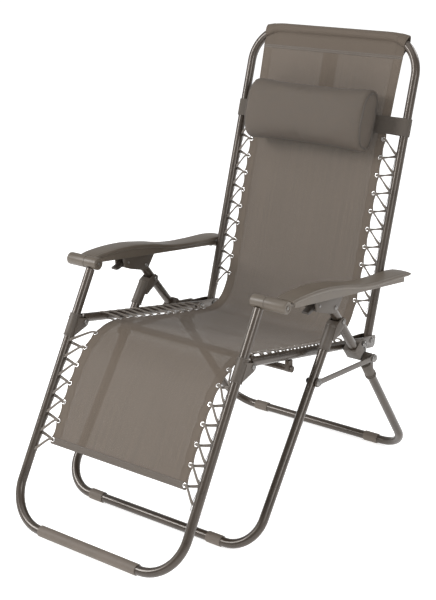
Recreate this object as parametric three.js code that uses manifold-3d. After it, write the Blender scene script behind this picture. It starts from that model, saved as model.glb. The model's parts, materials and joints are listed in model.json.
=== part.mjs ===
// Zero gravity recliner: a folding steel-tube lounger with a laced fabric sling.
// Units are millimetres. +Z is up, -Y is the footrest end, +Y is the back end,
// +X is the sitter's left. The origin is on the floor under the middle of the chair.
import * as THREE from 'three';
import { mergeVertices } from 'three/addons/utils/BufferGeometryUtils.js';
import Module from 'manifold-3d';

const wasm = await Module();
wasm.setup();

// ---------- driving dimensions ----------
const TUBE_R = 11;            // 22 mm round steel tube
const TUBE_WALL = 1.4;        // tube wall
const FRAME_X = 247;          // half gauge of footrest, seat and back tubes
const LEG_X = 285;            // half gauge of the legs and support struts
const GAP = 0.35;             // gap between touching pieces
const SLEEVE_R = 13.5;        // outer radius of the plastic sleeves and foot caps

const FOOT_TOP = [-185, 581];     // footrest tube top, armrest barrel axis (y, z)
const FOOT_BAR = [-496.55, 28.8];    // footrest bar axis
const KNEE = [-229, 446];         // seat rail to footrest pivot
const SEAT_FRONT = [-224, 452.8]; // only the direction of the rail is taken from these
const SEAT_SLOPE = -0.195;        // dz/dy of the seat rail
const SEAT_HINGE = [226, 364.5];  // seat pivot on the leg hub
const SEAT_END_Y = 264;           // rear end of the seat rail
const BACK_PIVOT = [283, 358];    // back frame pivot
const BACK_SLOPE = 0.294;         // dy/dz of the back tube
const BACK_TOP_Z = 1081.5;        // axis height of the top bar
const ARM_PIVOT = [331, 509.7];   // rear end of the armrest, beside the back tube
const FRONT_LEG_TOP = [51.6, 467.9];
const FRONT_LEG_BAR = [-262, 13.24];
const STRUT_TOP = [34.6, 525.3];
const STRUT_END = [171, 363];
const STRUT_RIVET = [79.2, 472.4];
const LOCK_PIN = [41, 517.6];
const REAR_PIVOT = [225, 337];
const REAR_LEG_TOP = [216, 319.5];
const REAR_LEG_BAR = [444.4, 13.24];
const BRACE_FRONT = [-28, 353];
const FOOT_BEND = 98, LEG_BEND = 78, BACK_BEND = 92;
const SLING_HALF = 203;           // half width of the sling
const SLING_T = 2;                // sling thickness
const CORD_R = 2;                 // elastic lacing cord
const PILLOW_HALF = 186, PILLOW_T = 47, PILLOW_H = 88, PILLOW_S = 535;

// ---------- colours ----------
const COL = {
  steel: [0x5b5047, 0.45, 0.35], plastic: [0x6e655b, 0.6, 0.0], fabric: [0x756a5f, 0.85, 0.0],
  cord: [0x9a9084, 0.8, 0.0], bolt: [0x8d8a86, 0.35, 0.9], pillow: [0x6f655b, 0.8, 0.0],
};

const group = new THREE.Group();
function add(name, geo, kind) {
  const [c, r, m] = COL[kind];
  const mesh = new THREE.Mesh(geo, new THREE.MeshStandardMaterial({ color: c, roughness: r, metalness: m }));
  mesh.name = name;
  group.add(mesh);
  return mesh;
}

// ---------- booleans ----------
function solid(geo) {
  let g = geo.clone();
  g.deleteAttribute('normal'); g.deleteAttribute('uv');
  g = mergeVertices(g, 1e-4);
  return new wasm.Manifold(new wasm.Mesh({
    numProp: 3, vertProperties: new Float32Array(g.attributes.position.array),
    triVerts: new Uint32Array(g.index.array) }));
}
function geometry(m) {
  const q = m.getMesh();
  const g = new THREE.BufferGeometry();
  g.setAttribute('position', new THREE.BufferAttribute(new Float32Array(q.vertProperties), 3));
  g.setIndex(new THREE.BufferAttribute(new Uint32Array(q.triVerts), 1));
  g.computeVertexNormals();
  return g;
}
const cut = (geo, ...tools) => { let m = solid(geo); for (const t of tools) m = m.subtract(solid(t)); return geometry(m); };
const join = (...gs) => { let m = solid(gs[0]); for (const g of gs.slice(1)) m = m.add(solid(g)); return geometry(m); };
function mirror(geo) {
  const g = geo.index ? geo.toNonIndexed() : geo.clone();
  const p = g.attributes.position;
  for (let i = 0; i < p.count; i += 3) {
    const a = [p.getX(i), p.getY(i), p.getZ(i)], b = [p.getX(i + 1), p.getY(i + 1), p.getZ(i + 1)], c = [p.getX(i + 2), p.getY(i + 2), p.getZ(i + 2)];
    p.setXYZ(i, -a[0], a[1], a[2]); p.setXYZ(i + 1, -c[0], c[1], c[2]); p.setXYZ(i + 2, -b[0], b[1], b[2]);
  }
  g.computeVertexNormals();
  return g;
}
function pair(name, geo, kind) { add(name + '_l', geo, kind); add(name + '_r', mirror(geo), kind); }

// ---------- paths and sections ----------
class Route extends THREE.Curve {
  constructor(pts, tans) { super(); this.pts = pts; this.tans = tans; }
  at(list, t, norm) {
    const n = list.length - 1, f = Math.min(Math.max(t, 0), 1) * n, i = Math.min(Math.floor(f), n - 1);
    const v = list[i].clone().lerp(list[i + 1], f - i);
    return norm ? v.normalize() : v;
  }
  getPoint(t) { return this.at(this.pts, t, false); }
  getPointAt(t) { return this.getPoint(t); }
  getTangent(t) { return this.at(this.tans, t, true); }
  getTangentAt(t) { return this.getTangent(t); }
  getSpacedPoints(n) { const o = []; for (let i = 0; i <= n; i++) o.push(this.getPoint(i / n)); return o; }
}
// polyline with round bends; each bend is divided into `segs` steps
function bent(points, radius, segs) {
  const P = points.map((p) => new THREE.Vector3(...p)), pts = [], tans = [];
  const push = (p, t) => { pts.push(p); tans.push(t.clone().normalize()); };
  push(P[0], P[1].clone().sub(P[0]));
  for (let i = 1; i < P.length - 1; i++) {
    const a = P[i].clone().sub(P[i - 1]).normalize(), b = P[i + 1].clone().sub(P[i]).normalize();
    const ang = a.angleTo(b), d = radius * Math.tan(ang / 2);
    const n = b.clone().sub(a.clone().multiplyScalar(a.dot(b))).normalize();
    const s = P[i].clone().addScaledVector(a, -d), c = s.clone().addScaledVector(n, radius);
    for (let k = 0; k <= segs; k++) {
      const th = ang * k / segs;
      push(c.clone().addScaledVector(n, -radius * Math.cos(th)).addScaledVector(a, radius * Math.sin(th)),
        a.clone().multiplyScalar(Math.cos(th)).addScaledVector(n, Math.sin(th)));
    }
  }
  push(P[P.length - 1], P[P.length - 1].clone().sub(P[P.length - 2]));
  return new Route(pts, tans);
}
function polyline(points) {
  const P = points.map((p) => new THREE.Vector3(...p)), T = [];
  for (let i = 0; i < P.length; i++) {
    const a = P[Math.max(i - 1, 0)], b = P[Math.min(i + 1, P.length - 1)];
    T.push(b.clone().sub(a).normalize());
  }
  return new Route(P, T);
}
function ring(r, sides) {
  const s = new THREE.Shape(), p = [];
  for (let i = 0; i < sides; i++) { const a = (i + 0.5) * 2 * Math.PI / sides; p.push(new THREE.Vector2(r * Math.cos(a), r * Math.sin(a))); }
  s.setFromPoints(p);
  return s;
}
function sweep(route, r, ri, sides = 12) {
  const s = ring(r, sides);
  if (ri > 0) s.holes.push(new THREE.Path().setFromPoints(ring(ri, sides).getPoints().reverse()));
  return new THREE.ExtrudeGeometry(s, { steps: route.pts.length - 1, extrudePath: route, bevelEnabled: false });
}
// straight cylinder between two points
function rod(a, b, r, sides = 16, ri = 0) { return sweep(polyline([a, b]), r, ri, sides); }
const rodX = (x0, x1, yz, r, sides = 16) => rod([x0, yz[0], yz[1]], [x1, yz[0], yz[1]], r, sides);
// plate: outline in (y, z), thickness from x0 to x1
function plateX(x0, x1, yz) {
  const s = new THREE.Shape(yz.map(([y, z]) => new THREE.Vector2(y, z)));
  const g = new THREE.ExtrudeGeometry(s, { depth: x1 - x0, bevelEnabled: false, steps: 1 });
  // shape x -> world y, shape y -> world z, depth -> world x
  g.applyMatrix4(new THREE.Matrix4().set(0, 0, 1, x0, 1, 0, 0, 0, 0, 1, 0, 0, 0, 0, 0, 1));
  return g;
}
// rounded link outline between two points
function linkOutline(a, b, r, rMid, n = 6) {
  const d = [b[0] - a[0], b[1] - a[1]], L = Math.hypot(...d), u = [d[0] / L, d[1] / L], v = [-u[1], u[0]];
  const at = (p, s, t) => [p[0] + u[0] * s + v[0] * t, p[1] + u[1] * s + v[1] * t];
  const o = [];
  for (let k = 0; k <= n; k++) { const th = Math.PI / 2 + Math.PI * k / n; o.push(at(a, r * Math.cos(th), r * Math.sin(th))); }
  if (rMid < r) { o.push(at(a, r * 1.6, -rMid)); o.push(at(b, -r * 1.6, -rMid)); }
  for (let k = 0; k <= n; k++) { const th = -Math.PI / 2 + Math.PI * k / n; o.push(at(b, r * Math.cos(th), r * Math.sin(th))); }
  if (rMid < r) { o.push(at(b, -r * 1.6, rMid)); o.push(at(a, r * 1.6, rMid)); }
  return o;
}
const unit = (a, b) => { const d = [b[0] - a[0], b[1] - a[1]], L = Math.hypot(...d); return [d[0] / L, d[1] / L]; };
const along = (a, u, s, n = 0) => [a[0] + u[0] * s - u[1] * n, a[1] + u[1] * s + u[0] * n];

// U-shaped tube: leg from `top` (y,z) down to the bar at `bar`, across, and back up
function uTube(x, top, bar, bend, ri = TUBE_R - TUBE_WALL) {
  return sweep(bent([[x, ...top], [x, ...bar], [-x, ...bar], [-x, ...top]], bend, 6), TUBE_R, ri, 12);
}
const onX = (x, yz) => [x, yz[0], yz[1]];

// directions
const uFoot = unit(FOOT_TOP, FOOT_BAR);
const uBack = unit([0, 0], [BACK_SLOPE, 1]);
const uSeat = unit([0, 0], [1, SEAT_SLOPE]);
const uFront = unit(FRONT_LEG_TOP, FRONT_LEG_BAR);
const uRear = unit(REAR_LEG_TOP, REAR_LEG_BAR);
const uStrut = unit(STRUT_TOP, STRUT_END);
const seatZ = (y) => SEAT_HINGE[1] + SEAT_SLOPE * (y - SEAT_HINGE[0]);
const backAt = (s, n = 0) => along(BACK_PIVOT, uBack, s, n);   // n > 0 is towards the sitter
const BACK_LEN = (BACK_TOP_Z - BACK_PIVOT[1]) / uBack[1];
const hole = (x0, x1, yz, r) => rodX(x0, x1, yz, r, 16);

// ---------- front legs, struts, hubs and braces ----------
add('front_leg_tube', cut(uTube(LEG_X, FRONT_LEG_TOP, FRONT_LEG_BAR, LEG_BEND),
  hole(260, 310, BRACE_FRONT, 3.9), hole(-310, -260, BRACE_FRONT, 3.9)), 'steel');
const cap = (x0, x1, yz) => rod([x0, ...yz], [x1, ...yz], SLEEVE_R, 16, TUBE_R + GAP);
pair('front_foot_cap', cap(160, 201, FRONT_LEG_BAR), 'plastic');
{
  const a = along(FRONT_LEG_TOP, uFront, 62), b = along(FRONT_LEG_TOP, uFront, -1);
  const body = rod(onX(LEG_X, a), onX(LEG_X, b), 13.6, 16);
  const ear = [along(FRONT_LEG_TOP, uFront, 34, 0), along(FRONT_LEG_TOP, uFront, 30, 12), [88, 462], [89, 476], [80, 483], [66, 480], along(FRONT_LEG_TOP, uFront, -1, -4)];
  const ears = plateX(270, 300, ear);
  const slotT = rod(onX(LEG_X, STRUT_TOP), onX(LEG_X, STRUT_END), TUBE_R + GAP, 16);
  const boxT = plateX(LEG_X - TUBE_R - GAP, LEG_X + TUBE_R + GAP, [along(STRUT_RIVET, uStrut, -60, -12), along(STRUT_RIVET, uStrut, 60, -12), along(STRUT_RIVET, uStrut, 60, 30), along(STRUT_RIVET, uStrut, -60, 30)]);
  const bore = rod(onX(LEG_X, along(FRONT_LEG_TOP, uFront, 70)), onX(LEG_X, along(FRONT_LEG_TOP, uFront, 0 - GAP)), TUBE_R + GAP, 12);
  const core = join(body, ears);
  pair('leg_top_sleeve', cut(core, slotT, boxT, bore, hole(262, 308, STRUT_RIVET, 3.4)), 'plastic');
}
pair('sleeve_rivet', join(rodX(266.6, 303.4, STRUT_RIVET, 3, 12), rodX(266.6, 269.6, STRUT_RIVET, 6.5, 12), rodX(300.4, 303.4, STRUT_RIVET, 6.5, 12)), 'bolt');
pair('support_strut', cut(sweep(polyline([onX(LEG_X, STRUT_TOP), onX(LEG_X, STRUT_END)]), TUBE_R, TUBE_R - TUBE_WALL, 12),
  hole(262, 308, STRUT_RIVET, 3.4), hole(262, 308, LOCK_PIN, 3.5)), 'steel');
{
  const plate = plateX(263.6, 271.2, [[150, 372], [176, 386], [226, 379], [238, 373], [240, 362], [239, 334], [233, 324], [222, 323], [211, 331], [196, 345], [162, 352]]);
  const block = plateX(263.6, 298, [along(STRUT_END, uStrut, -32, 15), along(STRUT_END, uStrut, -32, -15), along(STRUT_END, uStrut, 5, -15), along(STRUT_END, uStrut, 5, 15)]);
  const bore = rod(onX(LEG_X, along(STRUT_END, uStrut, GAP)), onX(LEG_X, along(STRUT_END, uStrut, -40)), TUBE_R + GAP, 12);
  pair('strut_hub', cut(join(plate, block), bore, hole(255, 280, SEAT_HINGE, 4.4), hole(255, 280, REAR_PIVOT, 4.4)), 'plastic');
}
pair('brace_link', cut(plateX(298.7, 302.5, linkOutline(BRACE_FRONT, REAR_PIVOT, 11, 6.5)), hole(290, 310, BRACE_FRONT, 3.9), hole(290, 310, REAR_PIVOT, 4.4)), 'steel');
pair('brace_bolt', join(rodX(270, 306.5, BRACE_FRONT, 3.5, 12), rodX(270, 273.6, BRACE_FRONT, 7, 12), rodX(302.9, 306.5, BRACE_FRONT, 9, 16)), 'bolt');
pair('hub_bolt', join(rodX(228.5, 279, SEAT_HINGE, 4, 12), rodX(228.5, 232.2, SEAT_HINGE, 8, 12), rodX(271.6, 279, SEAT_HINGE, 10, 16)), 'bolt');
pair('rear_pivot_bolt', join(rodX(264, 308, REAR_PIVOT, 4, 12), rodX(302.9, 308, REAR_PIVOT, 10, 16)), 'bolt');

// ---------- rear legs ----------
add('rear_leg_tube', uTube(LEG_X, REAR_LEG_TOP, REAR_LEG_BAR, LEG_BEND), 'steel');
pair('rear_foot_cap', cap(160, 201, REAR_LEG_BAR), 'plastic');
{
  const a = along(REAR_LEG_TOP, uRear, -4), b = along(REAR_LEG_TOP, uRear, 46);
  const body = rod(onX(LEG_X, a), onX(LEG_X, b), 13.2, 16);
  const ear = plateX(275.5, 294.5, [[225 - 11, 337 + 2], [225 - 6, 337 + 9.2], [225 + 2, 337 + 10.8], [225 + 9, 337 + 6.3], [225 + 11, 337], [225 + 9, 337 - 8], along(REAR_LEG_TOP, uRear, 26, 8), along(REAR_LEG_TOP, uRear, 2, -10)]);
  const bore = rod(onX(LEG_X, along(REAR_LEG_TOP, uRear, -GAP)), onX(LEG_X, along(REAR_LEG_TOP, uRear, 60)), TUBE_R + GAP, 12);
  pair('rear_leg_collar', cut(join(body, ear), bore, hole(262, 300, REAR_PIVOT, 4.4)), 'plastic');
}

// ---------- seat ----------
{
  const front = along(KNEE, uSeat, -4), f = [front[0], seatZ(front[0])], e = [SEAT_END_Y, seatZ(SEAT_END_Y)];
  // the upper front corner is cropped so that it clears the footrest bracket when the chair reclines
  const cn = [-0.4909, 0.8712], ct = [0.8712, 0.4909];
  const crop = plateX(230, 264, [[-45, 0], [45, 0], [45, 30], [-45, 30]].map(([t, n]) => [KNEE[0] + cn[0] * (13.7 + n) + ct[0] * t, KNEE[1] + cn[1] * (13.7 + n) + ct[1] * t]));
  pair('seat_rail', cut(rod(onX(FRAME_X, f), onX(FRAME_X, e), TUBE_R, 12, TUBE_R - TUBE_WALL),
    crop, hole(230, 262, KNEE, 3.9), hole(230, 262, SEAT_HINGE, 4.4)), 'steel');
  const c0 = [205, seatZ(205)], c1 = [299, seatZ(299)], c2 = [295, seatZ(295)];
  const side = (x0, x1) => plateX(x0, x1, [along(c0, uSeat, 0, -14.5), along(c1, uSeat, -8, -14.5), along(c1, uSeat, 0, -8), along(c1, uSeat, 0, 12), along(c2, uSeat, 0, 17), along(c2, uSeat, -26, 17), along(c0, uSeat, 8, 12.5), along(c0, uSeat, 0, 6)]);
  const web = plateX(232.6, 261.4, [along(c0, uSeat, 0, -14.5), along(c1, uSeat, -8, -14.5), along(c1, uSeat, -8, -11.5), along(c0, uSeat, 0, -11.5)]);
  pair('hinge_bracket', cut(join(side(232.6, 235.6), side(258.4, 261.4), web),
    hole(225, 270, SEAT_HINGE, 4.4), hole(225, 270, BACK_PIVOT, 4.4)), 'steel');
  pair('back_pivot_bolt', join(rodX(228.6, 263.2, BACK_PIVOT, 4, 12), rodX(228.6, 232.2, BACK_PIVOT, 8, 12), rodX(261.7, 263.2, BACK_PIVOT, 8, 12)), 'bolt');
  const by = -70, bz = seatZ(by) - 33;
  const brace = join(rodX(-258, 258, [by, bz], 8, 12),
    plateX(241, 253, [[by - 7, bz], [by + 7, bz], [by + 7, seatZ(by) - 13], [by - 7, seatZ(by) - 12]]),
    plateX(-253, -241, [[by - 7, bz], [by + 7, bz], [by + 7, seatZ(by) - 13], [by - 7, seatZ(by) - 12]]));
  add('seat_cross_brace', brace, 'steel');
}

// ---------- back ----------
add('back_tube', cut(sweep(bent([onX(FRAME_X, backAt(-9)), onX(FRAME_X, backAt(BACK_LEN)), onX(-FRAME_X, backAt(BACK_LEN)), onX(-FRAME_X, backAt(-9))], BACK_BEND, 6), TUBE_R, TUBE_R - TUBE_WALL, 12),
  hole(230, 262, BACK_PIVOT, 4.4), hole(-262, -230, BACK_PIVOT, 4.4)), 'steel');

// ---------- footrest ----------
{
  const top = along(FOOT_TOP, uFoot, 15.6);
  add('footrest_tube', uTube(FRAME_X, top, FOOT_BAR, FOOT_BEND), 'steel');
  add('footrest_sleeve', cap(-146, 146, FOOT_BAR), 'plastic');
  const s = (KNEE[1] - FOOT_TOP[1]) / uFoot[1];
  const c = along(FOOT_TOP, uFoot, s);
  const body = rod(onX(FRAME_X, along(c, uFoot, -26)), onX(FRAME_X, along(c, uFoot, 30)), 13.4, 16);
  const ear = plateX(232.6, 261.4, [along(c, uFoot, -14), along(c, uFoot, -16, -10).map((v, i) => v), [KNEE[0] - 2, KNEE[1] + 9.5], [KNEE[0] + 6, KNEE[1] + 8], [KNEE[0] + 10, KNEE[1]], [KNEE[0] + 7, KNEE[1] - 8], [KNEE[0] - 1, KNEE[1] - 12], along(c, uFoot, 28)]);
  const slot = plateX(FRAME_X - TUBE_R - 0.5, FRAME_X + TUBE_R + 0.5, [[KNEE[0] - 13, KNEE[1] + 25], [KNEE[0] + 30, KNEE[1] + 25], [KNEE[0] + 30, KNEE[1] - 40], [KNEE[0] - 13, KNEE[1] - 40]]);
  const bore = rod(onX(FRAME_X, along(c, uFoot, -60)), onX(FRAME_X, along(c, uFoot, 60)), TUBE_R + GAP, 12);
  pair('knee_bracket', cut(join(body, cut(ear, slot)), bore, hole(225, 270, KNEE, 3.9)), 'plastic');
  pair('knee_bolt', join(rodX(229.4, 264.6, KNEE, 3.5, 12), rodX(229.4, 232.2, KNEE, 7, 12), rodX(261.8, 264.6, KNEE, 7, 12)), 'bolt');
}

// ---------- armrests ----------
const railZ = (y) => 565 - 0.129 * (y + 125);
{
  const barrel = rodX(226, 319, FOOT_TOP, 15, 20);
  const rail = plateX(275, 295, [[-178, railZ(-178)], [345, railZ(345)], [345, railZ(345) + 7], [-178, railZ(-178) + 7]]);
  const boss = rodX(259, 277, ARM_PIVOT, 7, 12);
  pair('arm_frame', join(barrel, rail, boss), 'plastic');
  const top = [[-152, 586.5], [-135, 587.5], [-105, 588], [-78, 587.5], [-45, 585.5], [0, 580.5], [40, 573], [80, 564.5], [110, 556.5], [140, 549.5], [170, 544], [200, 540], [230, 537], [265, 534], [300, 531.5], [340, 528], [372, 523]];
  const low = top.map(([y, z]) => [y, z - 9.5]);
  pair('arm_pad', plateX(261, 315, [...low, ...top.slice().reverse()]), 'plastic');
}

// ---------- armrest lock ----------
{
  const outline = [[-42, 530], [-20, 521], [30, 506], [44, 506], [52, 512], [76, railZ(76) + 4.5], [-46, railZ(-46) + 4.5]];
  const floor = plateX(272, 298, [[-21, 521.5], [8, 513], [8, 517.5], [-21, 526]]);
  const pin = rodX(271, 299, LOCK_PIN, 3, 12);
  const leverPin = rodX(271, 299, [-28, 540], 2.5, 12);
  pair('lock_bracket', join(plateX(269, 273.4, outline), plateX(296.6, 301, outline), floor, pin, leverPin), 'plastic');
  const lever = join(rodX(275, 295, [-28, 540], 7, 16), plateX(276.5, 293.5, [[-30, 535], [-58, 527], [-66, 528], [-66, 533], [-58, 535], [-30, 544.5]]));
  pair('lock_lever', cut(lever, hole(270, 300, [-28, 540], 2.9)), 'plastic');
}

// ---------- sling ----------
// middle line of the cloth in (y, z)
const backLine = [backAt(700, 9), backAt(600, 9.5), backAt(450, 10), backAt(300, 8), backAt(180, 6), backAt(120, 6), backAt(86, 6.5), [291, 422], [280, 404], [270, 393]];
const seatLine = [[267, 390.5], [256, 383], [238, 376.5], [212, 373], [150, 380], [60, 396], [-40, 416], [-110, 431], [-150, 438], [-176, 440]];
const legLine = [[-180.5, 440], [-206, 436.5], [-236, 424.7], [-273, 400], [-300, 369], [-326.8, 330.4], [-391.8, 208], [-397.5, 197.5]];
function ribbon(line, t) {
  const n = line.length, off = (i, s) => {
    const a = line[Math.max(i - 1, 0)], b = line[Math.min(i + 1, n - 1)], u = unit(a, b);
    return [line[i][0] - u[1] * s, line[i][1] + u[0] * s];
  };
  const A = [], B = [];
  for (let i = 0; i < n; i++) { A.push(off(i, t / 2)); B.push(off(i, -t / 2)); }
  return [...B, ...A.reverse()];
}
function orient(poly) {
  let a = 0;
  for (let i = 0; i < poly.length; i++) { const p = poly[i], q = poly[(i + 1) % poly.length]; a += p[0] * q[1] - q[0] * p[1]; }
  return a < 0 ? poly.slice().reverse() : poly;
}
const sheet = (line, half) => plateX(-half, half, orient(ribbon(line, SLING_T)));
{
  const c = backAt(BACK_LEN), L = BACK_LEN;
  const pocket = rod(onX(-150, c), onX(150, c), 14.2, 24);
  const tail = plateX(-150, 150, orient([backAt(L - 11, 8), backAt(L - 11, 12), backAt(695, 10), backAt(695, 8)]));
  const bore = rod(onX(-160, c), onX(160, c), TUBE_R + GAP + 0.1, 24);
  add('back_sling', cut(join(pocket, tail, sheet(backLine, SLING_HALF)), bore), 'fabric');
  add('seat_sling', sheet(seatLine, SLING_HALF), 'fabric');
  add('leg_sling', sheet(legLine, SLING_HALF), 'fabric');
}

// ---------- lacing ----------
// zigzag between the sling's edge and the tube; `line` is the edge, `tube` maps a
// point of the edge to the nearest point of the tube's axis
function lace(line, count, tube) {
  const c = new THREE.CatmullRomCurve3(line.map(([y, z]) => new THREE.Vector3(0, y, z)), false, 'centripetal');
  const pts = [];
  for (let i = 0; i < count; i++) {
    const g = c.getPointAt((i + 0.5) / count), h = c.getPointAt(Math.min((i + 1) / count, 1)), t = tube([h.y, h.z]);
    pts.push([206.5, g.y, g.z]);
    if (i < count - 1) pts.push([232.5, t[0], t[1]]);
  }
  return sweep(polyline(pts), CORD_R, 0, 6);
}
const toLine = (p0, u) => (p) => { const s = (p[0] - p0[0]) * u[0] + (p[1] - p0[1]) * u[1]; return [p0[0] + u[0] * s, p0[1] + u[1] * s]; };
pair('back_lace', lace([backAt(492, 10), backAt(300, 8), backAt(150, 6), backAt(80, 7)], 10, toLine(BACK_PIVOT, uBack)), 'cord');
pair('seat_lace', lace([[190, seatZ(190) + 5], [60, 396], [-110, 431], [-150, 437]], 11, toLine([0, seatZ(0) + 6], uSeat)), 'cord');
pair('leg_lace', lace([[-245, 419], [-273, 400], [-300, 369], [-326.8, 330.4], [-396, 199]], 7, toLine(FOOT_TOP, uFoot)), 'cord');

// ---------- head pillow ----------
{
  const prof = [], n = 7;
  for (let i = 0; i <= n; i++) { const a = -Math.PI / 2 + Math.PI * i / n; prof.push(new THREE.Vector2(Math.max(0, Math.pow(Math.abs(Math.cos(a)), 0.35)), Math.sin(a))); }
  prof[0].x = 0; prof[n].x = 0;
  const g = new THREE.LatheGeometry(prof, 16);
  // lathe axis is Y: turn it to X, then scale to the pillow and lean it with the back
  const c = backAt(PILLOW_S, 9 + PILLOW_T + 3);
  g.applyMatrix4(new THREE.Matrix4().makeScale(PILLOW_T, PILLOW_HALF, PILLOW_H));
  const m = new THREE.Matrix4().set(0, 1, 0, 0, -uBack[1], 0, uBack[0], c[0], uBack[0], 0, uBack[1], c[1], 0, 0, 0, 1);
  g.applyMatrix4(m);
  add('head_pillow', m.determinant() > 0 ? g : mirror(mirror(g)), 'pillow');
  const s0 = 519, s1 = 563, lo = backAt(s0), hi = backAt(s1);
  const loop = rod(onX(FRAME_X, lo), onX(FRAME_X, hi), 13.2, 20);
  const tailY = (s, n) => backAt(s, n);
  const tail = plateX(189.5, FRAME_X, orient([tailY(s0, 11.6), tailY(s1, 11.6), tailY(s1, 13.1), tailY(s0, 13.1)]));
  const bore = rod(onX(FRAME_X, backAt(s0 - 10)), onX(FRAME_X, backAt(s1 + 10)), 11.5, 20);
  pair('pillow_strap', cut(join(loop, tail), bore), 'fabric');
}

export default group;
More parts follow.
